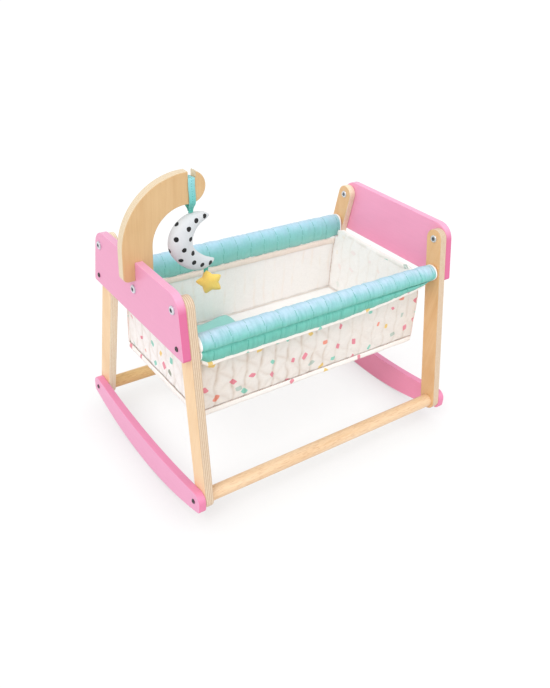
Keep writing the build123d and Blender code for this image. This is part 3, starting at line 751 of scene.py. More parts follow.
def flap_strip(side, name):
    """The piping strip sewn along the flap's lower edge, a little wavy."""
    section = ((-1.4, 3.6), (0.8, 3.2), (1.8, 1.0), (1.6, -2.0), (0.2, -3.6), (-1.6, -3.2),
               (-2.6, -0.6), (-2.6, 2.0))

    def ring_at(x):
        fat = 1.0 + 0.16 * ripple(x, 3, side * 4, 11.0)
        out = strip_out + 0.5 * ripple(x, side * 9, 5, 14.0)
        up = hung(strip_out, strip_up - 2.2, flap_share(x)) + 0.7 * ripple(x, side * 5, 2, 17.0)
        centre = Vector((middle_x + x, side * (rail_y + out), rail_z + up))
        return [centre + Vector((0, side * a * fat, b * fat)) for a, b in section]

    return strip(name, 1.0 - sleeve_half, sleeve_half - 20.0, 260, ring_at, 1.6, (170 * side, 40))


# Basket

corner_radius = 5.0
lining_pitch = 22.0         # between two upright sewn lines of the lining
quilt_pitch = 26.0          # between two upright sewn lines of the outer cloth
quilt_slant = 44.0          # height in which the slanting creases repeat
quilt_puff, lining_puff, end_lining_puff = 3.2, 0.9, 0.7
pulled_flat = 0.38          # how much flatter the side walls' quilting is at the foot end
side_belly = 2.5            # how far the side walls swell in their middle
side_top = wall_top + 3.0   # of the side walls' cloth, up inside the sleeves
end_reach = 104.0           # half length of the end walls' hems
hem_sag = 3.0               # how far a hem hangs lower in its middle
hem_tuck = 6.0              # how far its ends tuck down under the sleeves
tuck_reach = 18.0           # length over which they do
end_pull = 6.0              # how far the side walls lean in towards the hems' ends
pull_reach = 26.0           # length over which they do
pull_start = 34.0           # how far below their top the lean starts


def hem_drop(y):
    """How far an end wall's hem hangs below its highest place: it sags and tucks in under the sleeves."""
    tuck = hem_tuck * smoothstep(abs(y), end_reach - tuck_reach, end_reach)
    return hem_sag * (1 - (y / end_reach) ** 2) + tuck


def corner_lean(z):
    """How far a corner of the basket leans in at a height."""
    return end_pull * smoothstep(z, wall_top - pull_start, end_top)


def pulled(x):
    """Share of the lean at a place along a side wall, 1 at its ends."""
    return smoothstep(abs(x), basket_half_x - pull_reach, basket_half_x)


def belly(x):
    """How far a side wall swells at a place along it."""
    return side_belly * (1 - (x / basket_half_x) ** 2)


def quilting(u, v):
    """Height of the quilting, 0 on its sewn lines: upright wavy ones, with softer slanting creases."""
    bent = u + 4.5 * ripple(3, v, 1, 24.0) + 6.0 * ripple(u, v, 2, 40.0)
    upright = abs(sin(pi * bent / quilt_pitch))
    up = v + 7.0 * ripple(u, v, 6, 30.0)
    steep = abs(sin(pi * (bent / (2 * quilt_pitch) + up / quilt_slant)))
    gentle = abs(sin(pi * (bent / (2 * quilt_pitch) - up / quilt_slant)))
    return min(upright, 0.16 + 0.84 * steep, 0.34 + 0.66 * gentle) ** 0.45


def channels(u, v):
    """Height of the lining's upright channels, with a few cross stitches."""
    bent = u + 3.2 * ripple(u, v, 4, 34.0)
    upright = abs(sin(pi * bent / lining_pitch)) ** 0.45
    shift = 0.5 if int(bent // lining_pitch) % 2 else 0.0
    across = abs(sin(pi * (v / 36.0 + shift))) ** 0.3
    tight = 0.35 + 0.65 * smoothstep(ripple(u, v, 12, 42.0), -0.3, 0.4)
    return 1 - (1 - upright * (0.72 + 0.28 * across)) * tight


def outer_cloth(u, v, share, slack):
    """The walls' outer face: how far it stands out, and its quilting's height."""
    quilt = 1 - (1 - quilting(u, v)) * slack
    crease = 0.8 * ripple(u, v, 0, 9.0) + 0.9 * ripple(u, v, 5, 26.0)
    crease += 0.9 * ripple(u, v * 0.35, 9, 5.0) * exp(-v / 9.0)
    tuck = -0.9 * exp(-(v / 3.5) ** 2)
    puff = quilt_puff * quilt * smoothstep(share, 0.0, 0.07)
    return puff + crease * 0.7 + tuck - 0.8, quilt


def inner_cloth(u, v, is_end):
    """The walls' lining: how far it stands out, below 0 towards the inside, and its quilting's height."""
    soft = quilting(u + 9, v) if is_end else channels(u, v)
    crease = 0.45 * ripple(u, v, 40, 14.0) + (0.9 if is_end else 0.3) * ripple(u, v, 47, 30.0)
    return -wall_thick - 0.2 - (end_lining_puff if is_end else lining_puff) * soft - crease * 0.8, soft


def wall_band():
    """The walls of the basket as one quilted band with round corners, open at the top."""
    loop = rounded_loop(basket_half_x, basket_half_y, corner_radius, 1.7)
    points = [point for point, _ in loop]
    lengths = arc_lengths(points + points[:1])
    rows, lining_rows = ((62, 38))
    rings, heights, relief = [], [], []
    for (point, outward), u in zip(loop, lengths):
        raised = smoothstep(end_reach + 4.0 - abs(point.y), 0.0, 5.0) * smoothstep(abs(outward.x), 0.5, 0.9)
        top = side_top + raised * (end_top - 1.0 - hem_drop(min(abs(point.y), end_reach)) - side_top)
        swell = belly(point.x) * abs(outward.y)
        slack = 1 - pulled_flat * abs(outward.y) * smoothstep(point.x, -70.0, 90.0)
        is_end = abs(outward.x) > 0.7
        shares = [(row / rows, True) for row in range(rows + 1)]
        shares += [(1 - row / lining_rows, False) for row in range(lining_rows + 1)]
        ring, level, height = [], [], []
        for share, outside in shares:
            v = (top - seam_z) * share
            away, puff = outer_cloth(u, v, share, slack) if outside else inner_cloth(u, v, is_end)
            place = point + outward * (swell * sin(pi * share) + away)
            y = place.y * (1 - corner_lean(seam_z + v) * pulled(point.x) / basket_half_y)
            ring.append(Vector((middle_x + place.x, y, seam_z + v)))
            level.append(v)
            height.append(puff)
        rings.append(ring)
        heights.append(level)
        relief.append(height)
    count = len(rings)

    def uv(i, j):
        level = heights[i % count]
        return lengths[i] + (0 if j % len(level) <= rows else 700), level[j % len(level)]

    def slot_of(i, j):
        is_end = abs(loop[i % count][1].x) > 0.7
        if j < rows or j == rows + lining_rows + 1:
            return 3 if is_end else 0
        return 2 if is_end else 1

    return skin("basket_walls", rings, loop=True, uv=uv, slot_of=slot_of, relief=relief), lengths[-1]


def bottom_flange():
    """The seam allowance that stands out under the walls, bound and a little wavy, and its thread."""
    loop = rounded_loop(basket_half_x, basket_half_y, corner_radius, 3.0)
    points = [point for point, _ in loop]
    lengths = arc_lengths(points + points[:1])
    section = ((0.2, 2.6), (1.3, 2.4), (2.1, 0.0), (2.5, -3.0), (2.3, -6.2), (1.2, -6.8),
               (0.6, -3.2), (0.1, 0.0))
    rings, thread = [], []
    for (point, outward), u in zip(loop, lengths):
        wave = 0.9 * ripple(u, 0, 3, 17.0) + 0.4 * ripple(u, 4, 3, 5.0)
        lift = 0.8 * ripple(u, 9, 3, 30.0)
        ring = []
        for out, up in section:
            place = point + outward * (out + wave * max(0.0, -up) / 6.0)
            ring.append(Vector((middle_x + place.x, place.y, seam_z + up + lift * 0.5)))
        rings.append(ring)
        thread.append(Vector((middle_x + point.x + outward.x, point.y + outward.y,
                              seam_z + 2.8 + 0.4 * ripple(point.x, point.y, 3, 20.0))))
    flange = skin("bottom_flange", rings, loop=True, uv=lambda i, j: (lengths[i], 2.0 * j))
    return flange, tube("bottom_seam_thread", thread, 0.5, turns=6)


inner_x, inner_y = basket_half_x - wall_thick, basket_half_y - wall_thick


def corner_path(heights, end, side, out_x, out_y, sway, wave):
    """A line up a corner of the basket, swaying a little."""
    return [
        Vector((middle_x + end * (out_x + sway * ripple(z, end, side, 12.0)),
                side * (out_y - corner_lean(z) + sway * ripple(z, side, end, wave)), z))
        for z in heights
    ]


def corner_piping(end, side, name):
    """Piping up an outer corner of the basket."""
    steps = 40
    heights = [seam_z + 1.0 + (wall_top - seam_z) * k / steps for k in range(steps + 1)]
    path = corner_path(heights, end, side, basket_half_x - 0.6, basket_half_y - 0.8, 0.5, 10.0)
    return tube(name, path, lambda i: 1.9 + 0.4 * ripple(path[i].z, end, side, 7.0), turns=10, closed=False)


def corner_seam(end, side, name):
    """Thread up an inside corner of the basket."""
    step = 3.0
    heights = [pad_high.z + 0.5 + step * k for k in range(int((wall_top - pad_high.z + 8) / step))]
    path = corner_path(heights, end, side, inner_x - 1.6, inner_y - 1.6, 0.3, 9.0)
    return tube(name, path, 0.7, closed=False)


def end_hem(end, name):
    """The flat folded hem along the top of an end wall, sagging between the sleeves."""
    section = ((0.0, 2.2), (1.5, 1.6), (2.5, 0.0), (2.7, -3.0), (2.5, -6.2), (1.4, -7.2), (0.0, -6.9),
               (-1.6, -7.2), (-2.7, -6.2), (-2.9, -3.0), (-2.6, 0.0), (-1.5, 1.6))

    def ring_at(y):
        x = middle_x + end * (basket_half_x - wall_thick / 2) + 0.7 * ripple(y, 1, end, 26.0)
        fat = 1 + 0.12 * ripple(y, 2, end, 11.0)
        return [Vector((x + out * fat, y, end_top - hem_drop(y) + up)) for out, up in section]

    return strip(name, -end_reach, end_reach, 80, ring_at, 2.4, (300 * end, 0))


def floor_seam():
    """Thread round the floor."""
    path = []
    for point, _ in rounded_loop(inner_x - 1.5, inner_y - 1.5, 2.0, 4.0):
        z = pad_high.z + 0.5 + 0.3 * ripple(point.x, point.y, 5, 20.0)
        path.append(Vector((middle_x + point.x, point.y, z)))
    return tube("floor_seam", path, 1.1)


def sleeve_tape(side, name):
    """The tape sewn inside the basket, under a sleeve."""
    section = ((-0.2, 5.5), (-1.5, 4.4), (-1.9, 0.0), (-1.8, -4.4), (-1.2, -5.9), (0.2, -5.4), (1.0, 0.0))

    def ring_at(x):
        out = inner_y - 1.0 + belly(x) * sin(pi * 0.94) - 0.45 * end_pull * pulled(x)
        up = wall_top - 5.5 + 0.4 * ripple(x, side * 9, 5, 22.0)
        return [Vector((middle_x + x, side * (out + a), up + b)) for a, b in section]

    return strip(name, 2.0 - inner_x, inner_x - 2.0, 110, ring_at, 2.0)


def tray(name, levels, radius, counts, lift_at):
    """A closed body from rounded rectangles, each (half x, half y, height), with a wavy surface.
    lift_at gives the waves' lift at a level's number and a place on it."""
    rings = []
    for number, (half_x, half_y, height) in enumerate(levels):
        loop = rounded_loop(half_x, half_y, min(radius, half_x * 0.6, half_y * 0.6), counts=counts)
        rings.append([
            Vector((middle_x + point.x, point.y, height + lift_at(number, middle_x + point.x, point.y)))
            for point, _ in loop
        ])

    def uv(i, j):
        point = rings[i][j % len(rings[0])]
        return point.x, point.y

    return skin(name, rings, uv=uv)


def underside():
    """The cloth floor: a shallow sling, flat under the board and curved up to its seam."""
    drop = seam_z - floor_low
    out_x, out_y = basket_half_x - 18.0, basket_half_y - 18.0
    in_x, in_y = basket_half_x - 22.0, basket_half_y - 22.0
    levels = [(out_x * share, out_y * share, floor_low + 0.2) for share in (0.12, 0.5, 0.78, 0.95)]
    levels += [
        (basket_half_x - inset, basket_half_y - inset, floor_low + drop * rise) for rise, inset in (
            (0.0, 18.0), (0.04, 13.0), (0.15, 9.2), (0.35, 5.0), (0.6, 2.2), (0.85, 0.7), (1.0, 0.4),
            (1.0, 3.6), (0.8, 4.2), (0.55, 6.4), (0.35, 9.6), (0.2, 15.0), (0.17, 22.0))
    ]
    levels += [(in_x * share, in_y * share, floor_low + drop * 0.17) for share in (0.7, 0.4, 0.12)]

    def lift_at(number, x, y):
        return (1.2 if 3 <= number <= 9 else 0.5) * 0.5 * (1 + ripple(x, y, 8, 30.0))

    return tray("basket_underside", levels, corner_radius, (60, 30, 6), lift_at)


pad_over = 1.6              # how far the pad's soft edge swells against the lining


def floor_pad():
    """The pad on the board: full sides, a stitched edge and a soft crown."""
    half_x = (pad_high.x - pad_low.x) / 2 + pad_over
    half_y = pad_high.y + pad_over
    low, high = pad_low.z + 0.2, pad_high.z
    mid = (low + high) / 2
    levels = [((half_x - 14.0) * share, (half_y - 14.0) * share, low) for share in (0.12, 0.4, 0.7, 0.9)]
    levels += [
        (half_x - inset, half_y - inset, z) for inset, z in (
            (13.5, low), (10.0, low + 1.6), (6.0, mid - 2.0), (2.5, mid + 1.6), (0.2, high - 1.8),
            (0.4, high - 0.7), (1.8, high - 0.1), (5.0, high + 0.1))
    ]
    for share in (0.93, 0.8, 0.6, 0.4, 0.2, 0.07):
        levels.append(((half_x - 6.0) * share, (half_y - 6.0) * share, high + 0.2))

    def lift_at(number, x, y):
        return (0.5 if number > 10 else 0.0) * ripple(x, y, 21, 45.0)

    return tray("floor_pad", levels, corner_radius - wall_thick, (90, 46, 7), lift_at)


# Pillow

pillow_draw = 5.0           # how far its sides pull in between its corners
pillow_cell = 5.0           # voxel size
pillow_cap = 7.0            # how far a point may move as it fills
pillow_frames = 20


def pillow_shape(centre, half_x, half_y, rise, fall, steps):
    """Rings of a closed four-cornered cushion, with its seam at the height of its centre."""
    rings = []
    for i in range(steps + 1):
        a = -1 + 2 * i / steps
        top, bottom = [], []
        for j in range(steps + 1):
            b = -1 + 2 * j / steps
            corner = 1 - 0.012 * (a * b) ** 6
            x = a * (half_x - pillow_draw * (1 - b * b)) * corner
            y = b * (half_y - pillow_draw * (1 - a * a)) * corner
            fill = ((1 - a ** 8) * (1 - b ** 8)) ** 0.4
            top.append(Vector((x, y, rise * fill)) + centre)
            bottom.append(Vector((x, y, -fall * fill)) + centre)
        rings.append(top + bottom[::-1])
    return rings


def fill_with_air(piece):
    """Remeshes a closed piece and lets cloth under pressure settle, within a cap on each move."""
    bpy.context.view_layer.objects.active = piece
    remesh = piece.modifiers.new("even", "REMESH")
    remesh.mode = "VOXEL"
    remesh.voxel_size = pillow_cell * MM
    bpy.ops.object.modifier_apply(modifier=remesh.name)
    before = [vertex.co.copy() for vertex in piece.data.vertices]
    cloth = piece.modifiers.new("air", "CLOTH")
    cloth.settings.use_pressure = True
    cloth.settings.uniform_pressure_force = 4.0
    cloth.settings.effector_weights.gravity = 0.0
    cloth.settings.tension_stiffness = 25.0
    cloth.settings.bending_stiffness = 0.3
    cloth.point_cache.frame_start, cloth.point_cache.frame_end = 1, pillow_frames
    scene = bpy.context.scene
    for number in range(1, pillow_frames + 1):
        scene.frame_set(number)
    settled = piece.evaluated_get(bpy.context.evaluated_depsgraph_get())
    after = [vertex.co.copy() for vertex in settled.data.vertices]
    piece.modifiers.remove(cloth)
    scene.frame_set(1)
    for vertex, first, last in zip(piece.data.vertices, before, after):
        move = last - first
        if move.length > pillow_cap * MM:
            move *= pillow_cap * MM / move.length
        vertex.co = first + move
    smooth = piece.modifiers.new("fine", "SUBSURF")
    smooth.levels = smooth.render_levels = 1
    bpy.ops.object.modifier_apply(modifier=smooth.name)


def pillow():
    """A thin loose pillow, filled by simulation and laid on the pad, and its seam."""
    half_x = (pillow_high.x - pillow_low.x) / 2
    half_y = pillow_high.y
    centre = Vector(((pillow_high.x + pillow_low.x) / 2, 0, 0))
    rise = (pillow_high.z - pillow_low.z) * 0.52
    seam = Vector((0, 0, pillow_low.z + 3.6))
    piece = skin("pillow_cover", pillow_shape(centre + seam, half_x - 2.0, half_y - 2.0, rise, 3.0, 36))
    fill_with_air(piece)
    floor = (pillow_low.z + 0.05) * MM
    top = pillow_high.z * MM
    wide = max(abs(vertex.co.x - centre.x * MM) for vertex in piece.data.vertices)
    long = max(abs(vertex.co.y) for vertex in piece.data.vertices)
    for vertex in piece.data.vertices:
        place = vertex.co / MM
        vertex.co.z += 0.45 * MM * ripple(place.x, place.y, 60, 16.0)
        vertex.co.z += 0.8 * MM * ripple(place.x, place.y, 66, 48.0)
        vertex.co.z = min(max(vertex.co.z, floor), top)
        vertex.co.x = centre.x * MM + (vertex.co.x - centre.x * MM) * (half_x - 0.8) * MM / wide
        vertex.co.y *= (half_y - 0.8) * MM / long
    piece.data.shade_smooth()
    flat = piece.data.uv_layers.get("cloth") or piece.data.uv_layers.new(name="cloth")
    places = [piece.data.vertices[corner.vertex_index].co for corner in piece.data.loops]
    flat.data.foreach_set("uv", [value for place in places for value in place.xy])
    return piece, tube("pillow_seam", outer_edge(piece, centre, 240), 0.8)


def outer_edge(piece, centre, count):
    """A smooth line round a flat piece, through its farthest point in each direction from centre."""
    farthest = [Vector((0, 0, 0))] * count
    for vertex in piece.data.vertices:
        away = vertex.co / MM - centre
        number = int((atan2(away.y, away.x) / (2 * pi) + 0.5) * count) % count
        if hypot(away.x, away.y) > hypot(farthest[number].x, farthest[number].y):
            farthest[number] = away
    return [
        centre + (farthest[k - 1] + 2 * farthest[k] + farthest[(k + 1) % count]) / 4 for k in range(count)
    ]


# Moon, star and ribbons

moon_radius = 47.5          # of the circle on which its outer edge lies
moon_bay_radius = 30.6      # of the circle on which its inner edge lies
moon_bay_out = 22.6         # from the middle of the outer circle to the middle of the inner one
moon_tilt = 8.0             # degrees by which its bay faces up from +X
moon_horn_turn = 54.5       # degrees from the bay's middle to a horn, on the outer circle
moon_bay_turn = 83.0        # the same on the inner circle
moon_thick_share = 0.72     # its thickness as a share of its width
moon_strap_in = 11.75       # from the ribbon to the middle of the outer circle, along X
moon_horn_share = 0.10      # share of its length over which a horn rounds off
moon_flat = 3.4             # how far its lower back is flattened
moon_lift = 2.6             # how far its lower belly is raised
moon_droop = 5.2            # how far its lower horn hangs down
dot_radius = 3.9


def heading(angle):
    """The direction at an angle up from X, in the plane of X and Z."""
    return Vector((cos(angle), 0, sin(angle)))


def moon_frame(share):
    """Middle, half width and across-direction of the moon's section at a share from horn to horn."""
    strap_x = (tab_low.x + tab_high.x) / 2
    centre = Vector((strap_x + moon_strap_in, 0, (moon_low.z + moon_high.z) / 2))
    top = radians(moon_tilt + moon_horn_turn + share * (360 - 2 * moon_horn_turn))
    bay = radians(moon_tilt + moon_bay_turn + share * (360 - 2 * moon_bay_turn))
    flat = moon_flat * exp(-((share - 0.62) / 0.13) ** 2)
    outer = centre + heading(top) * (moon_radius - flat)
    inner = centre + heading(radians(moon_tilt)) * moon_bay_out + heading(bay) * moon_bay_radius
    to_horn = min(share, 1 - share, moon_horn_share) / moon_horn_share
    taper = sqrt(max(1 - (1 - to_horn) ** 2, 0.0))
    lift = moon_lift * smoothstep(share, 0.42, 0.66) * (1 - smoothstep(share, 0.70, 0.9))
    droop = moon_droop * smoothstep(share, 0.78, 1.06)
    middle = (outer + inner) / 2 + Vector((0.06 * droop, 0, lift - droop))
    across = outer - inner
    return middle, across.length / 2 * taper, across.normalized()


def moon_point(share, turn):
    """A point on the moon. turn is 0 on its outer seam, pi on its inner one."""
    middle, half, across = moon_frame(share)
    width, depth = cos(turn), sin(turn)
    half_side = 1 if width > 0 else -1
    fat = abs(depth) ** 0.86 * (1 if depth >= 0 else -1)
    seam = exp(-(depth / 0.10) ** 2)
    pucker = 0.55 * exp(-(depth / 0.5) ** 2) * ripple(share * 300, 0, 5 * half_side, 5.5)
    soft = 0.5 * ripple(share * 90, turn * 9, 2, 9.0)
    reach = half * width + (0.35 * seam - 0.1) * half_side
    thick = half * moon_thick_share + pucker + soft * (1 - seam)
    return middle + across * reach + Vector((0, thick * fat, 0))


def moon_dots():
    """Places of the printed dots: staggered rows from horn to horn, on the faces and the outer edge."""
    dots = []
    rows = 9
    for k in range(rows):
        share = 0.07 + 0.86 * k / (rows - 1)
        if moon_frame(share)[1] < 13.0:
            turns = (1.5, -1.5)
        elif k % 2:
            turns = (0.78, -0.78, 2.15, -2.15)
        else:
            turns = (0.0, 1.5, -1.5)
        dots += [moon_point(share, turn) for turn in turns]
    return dots


def moon():
    """A stuffed moon with a sewn edge, small puckers along it and soft horns."""
    stations = 120
    turns = 56
    return skin("moon_toy", [
        [moon_point(0.003 + 0.994 * i / stations, 2 * pi * j / turns) for j in range(turns)]
        for i in range(stations + 1)
    ])


star_radius = 21.4          # from its middle to a point
star_waist = 13.6           # from its middle to the edge between two points
star_half = 7.2             # half its thickness
star_turn = -32.6           # degrees turned round the upright
star_tilt = 19.0            # degrees leaned in its own plane
star_neck = 17.9            # from the ribbon's end to the star's middle
star_blunt = 0.9            # how much its points are rounded off
star_levels = 11            # rings from its edge to the middle of a face


def star():
    """A puffy five-pointed star with creases between its arms, and the seam round its edge."""
    turned, tilt = radians(star_turn), radians(star_tilt)
    x, top = (star_tab_low.x + star_tab_high.x) / 2, star_tab_low.z
    aside = star_neck * sin(tilt)
    centre = Vector((x + aside * cos(turned), aside * sin(turned), top - star_neck * cos(tilt)))
    turn = Matrix.Rotation(turned, 3, "Z")
    steps = 120
    spokes = []
    for step in range(steps):
        to_tip = abs(2 * ((step / steps * 5) % 1) - 1)
        wide = star_waist + (star_radius - star_waist) * to_tip ** 1.5
        spokes.append((to_tip, wide, heading(pi / 2 + tilt + 2 * pi * (step / steps))))
    rings = []
    for level in range(-star_levels, star_levels + 1):
        height = sin(pi / 2 * level / star_levels)
        inset = sqrt(max(1 - height * height, 0.0))
        ring = []
        for step, (to_tip, wide, spoke) in enumerate(spokes):
            outline = min(wide, star_radius - star_blunt + 0.5 * (1 - to_tip))
            reach = max(outline * (1 - (1 - inset) ** 1.25), 0.25)
            depth = star_half * height * (1 - 0.30 * (reach / outline) ** 2 * to_tip)
            if level:
                crease = 0.9 * exp(-((1 - to_tip) / 0.10) ** 2) * (reach / outline) ** 2
                depth -= crease if level > 0 else -crease
            out = reach + 0.3 * ripple(step * 1.4, height * 6, 4, 5.0) * inset
            ring.append(centre + turn @ (spoke * out + Vector((0, depth, 0))))
        rings.append(ring)
    seam = [
        centre + turn @ (spoke * (min(wide, star_radius - star_blunt) + 0.15)) for _, wide, spoke in spokes
    ]
    return skin("star_toy", rings), tube("star_seam", seam, 0.42, turns=6)


ribbon_section = (          # shares of its half width and half thickness
    (-1, -0.5), (-0.94, -1), (0, -1), (0.94, -1), (1, -0.5),
    (1, 0.5), (0.94, 1), (0, 1), (-0.94, 1), (-1, 0.5),
)


def ribbon(name, path, width_at, thick):
    """A flat woven ribbon along a path, its width along X a function of the place."""
    lengths = arc_lengths(path)
    halves = [width_at(point) / 2 for point in path]
    rings = []
    for i, (point, half) in enumerate(zip(path, halves)):
        along = (path[min(i + 1, len(path) - 1)] - path[max(i - 1, 0)]).normalized()
        normal = along.cross(Vector((1, 0, 0))).normalized()
        rings.append([point + Vector((a * half, 0, 0)) + normal * b * thick / 2 for a, b in ribbon_section])
    wide = [a for a, _ in ribbon_section]
    return skin(name, rings, uv=lambda i, j: (lengths[i], wide[j % len(wide)] * halves[i]))


strap_aside = 2.4           # how far the strap's lower end hangs towards the moon's bay
strap_narrow = 2.2          # how much narrower the ribbon is than its solid
arm_tip = 48.5              # height of the arm where the strap hangs


def strap():
    """The loop over the arm: through the notch, down both faces and together above the moon."""
    x = (strap_low.x + strap_high.x) / 2
    face, under = arm_high.y, arm_high.z - arm_tip
    low, notch = strap_low.z, strap_high.z
    run = (
        (0.55, low, strap_aside), (0.9, low + 2.5, strap_aside), (3.9, under - 6.0, 1.6),
        (face + 0.9, under + 1.2, 0.6), (face + 1.3, under + 14.0, 0.0), (face + 1.0, notch - 12.0, -1.0),
        (face + 0.6, notch - 2.2, -0.9), (face - 1.2, notch - 0.5, -0.5),
    )
    back = [Vector((x + shift - 1.2, y, z)) for y, z, shift in run]
    front = [Vector((x + shift, -y, z)) for y, z, shift in reversed(run)]
    path = smooth_curve(back + [Vector((x - 0.5, 0, notch - 0.55))] + front, 6)
    narrow = tab_high.x - tab_low.x - strap_narrow
    return ribbon("hanging_strap", path, lambda point: narrow + 3.2 * smoothstep(point.z, low, under), 0.9)


def tab(name, low, high, thick, narrower, aside=0.0, grow=0.0):
    """A short stiff end of ribbon in a node's box, narrower than it and grow longer at its top."""
    x = (low.x + high.x) / 2 + aside
    path = [Vector((x, 0, low.z + (high.z + grow - low.z) * share)) for share in (0.0, 0.25, 0.5, 0.75, 1.0)]
    return ribbon(name, path, lambda point: high.x - low.x - narrower, thick)


# Stage

floor_size = 40.0           # in metres
floor_colour = 0.27         # as the camera sees it, with the glow added
floor_bounce = 0.80         # as the object is lit by it
floor_glow = 0.735
contact_reach = 90.0        # how far from the object the painted contact shadow reaches
contact_shade = 0.35
world_strength = 0.92


def stage_floor():
    """A pale floor that shows as white around the soft shadow, with a painted contact shadow close to the
    object.
    """
    bpy.ops.mesh.primitive_grid_add(
        x_subdivisions=8, y_subdivisions=8, size=floor_size, location=(0, 0, -0.4 * MM))
    floor = bpy.context.object
    floor.name = "floor"
    look = Look("pale_floor")
    seen = look.seen_by("Glossy", "Transmission", "Camera")
    tint = look.mix(seen, (floor_bounce,) * 3 + (1.0,), (floor_colour,) * 3 + (1.0,))
    # Ambient occlusion dims the glow near the object: a painted contact shadow.
    clear = look.out("AmbientOcclusion", which="AO", named={"Distance": contact_reach * MM}, samples=16)
    shade = look.between(clear, 0.0, 1.0, 1.0 - contact_shade, 1.0)
    glow = look.out("Emission", WHITE, seen * (shade * floor_glow))
    look.close(look.out("AddShader", look.out("BsdfDiffuse", tint), glow))
    floor.data.materials.append(look.material)


def world():
    """An even pale surrounding, white where the camera sees it."""
    surroundings = bpy.data.worlds.new("surroundings")
    bpy.context.scene.world = surroundings
    sky = Wiring(surroundings)
    strength = sky.between(sky.seen_by("Camera", "Transmission"), 0.0, 1.0, world_strength)
    sky.close(sky.out("Background", WHITE, strength), "OutputWorld")


def sun(name, direction, spread, strength):
    """A soft far lamp. direction points from the object to the lamp."""
    data = bpy.data.lights.new(name, "SUN")
    data.angle = radians(spread)
    data.energy = strength
    add(name, data).rotation_euler = (-Vector(direction)).to_track_quat("-Z", "Y").to_euler()


def camera():
    """The camera at the photograph's place and angle."""
    yaw, pitch, roll = radians(camera_yaw), radians(camera_pitch), radians(camera_roll)
    ahead = Vector((-sin(yaw) * cos(pitch), cos(yaw) * cos(pitch), sin(pitch)))
    right = Vector((cos(yaw), sin(yaw), 0))
    up = right.cross(ahead)
    right, up = right * cos(roll) + up * sin(roll), up * cos(roll) - right * sin(roll)
    data = bpy.data.cameras.new("camera")
    data.sensor_fit = "VERTICAL"
    data.sensor_height = sensor_height
    data.lens = focal_pixels * sensor_height / picture_height
    data.clip_end = 100.0
    viewer = add("camera", data)
    turn = Matrix((right, up, -ahead)).transposed().to_4x4()
    viewer.matrix_world = Matrix.Translation(Vector(camera_place) * MM) @ turn
    bpy.context.scene.camera = viewer


leg_lean = 10.3             # degrees


def dress_frame():
    """Finishes of the wooden and metal pieces."""
    # One paint in per-piece copies, as painted light and shade: the foot panel's is lighter and the foot
    # rocker's deeper,
    # and the rockers' edges are darker where the legs and basket shade them.
    panel_edges = (tone(218, 96, 145), tone(236, 170, 202))
    rocker_edges_shaded = (tone(229, 128, 167), tone(233, 142, 180))
    for node, *tones in (
            ("head_panel", tone(230, 150, 186), tone(235, 158, 193), *panel_edges),
            ("head_rocker", tone(232, 153, 190), tone(237, 162, 197), *rocker_edges_shaded),
            ("foot_panel", tone(245, 161, 196), tone(249, 169, 202), *panel_edges),
            ("foot_rocker", tone(244, 147, 181), tone(248, 154, 188), *rocker_edges_shaded)):
        dress(pink_paint(f"{node}_paint", *tones), node)
    for side, side_name in SIDES:
        for end, *faces in (("head", tone(244, 212, 170), tone(235, 196, 147)),
                            ("foot", tone(234, 192, 142), tone(223, 173, 118))):
            leg = f"{end}_{side_name}_leg"
            edges = near_layers_shaded if side < 0 else far_layers_lit
            dress(plywood(f"plywood_{leg}", 0, side * radians(leg_lean), *faces, edges), leg)
    rods = beech("beech", tone(240, 210, 174), tone(226, 187, 143))
    dress(rods, "near_stretcher", "near_rail", "far_rail")
    dress(beech("beech_far", tone(244, 208, 148), tone(230, 186, 120)), "far_stretcher")
    arm = plywood("plywood_arm", 1, 0.0, tone(222, 186, 136), tone(212, 172, 120), edge_layers)
    dress(arm, "mobile_arm")
    bolts_low, bolts_high = box_mm("panel_bolts")
    arm_bolt_low, arm_bolt_high = box_mm("arm_bolt")
    head = (arm_bolt_high.z - arm_bolt_low.z) / 2
    corner = (bolts_high.y - head, (bolts_high.z + bolts_low.z) / 2)
    centre = (0.0, (arm_bolt_high.z + arm_bolt_low.z) / 2)
    bright = steel("steel", tone(222, 225, 230), 0.3, (corner, centre), 0.5 * head)
    dress(bright, "panel_bolts", "sleeve_nuts", "arm_bolt", "arm_nut")
    dress(steel("dark_steel", tone(84, 74, 78), 0.4), "rail_screws", "foot_screws")
    dress(brown_board(), "base_board")


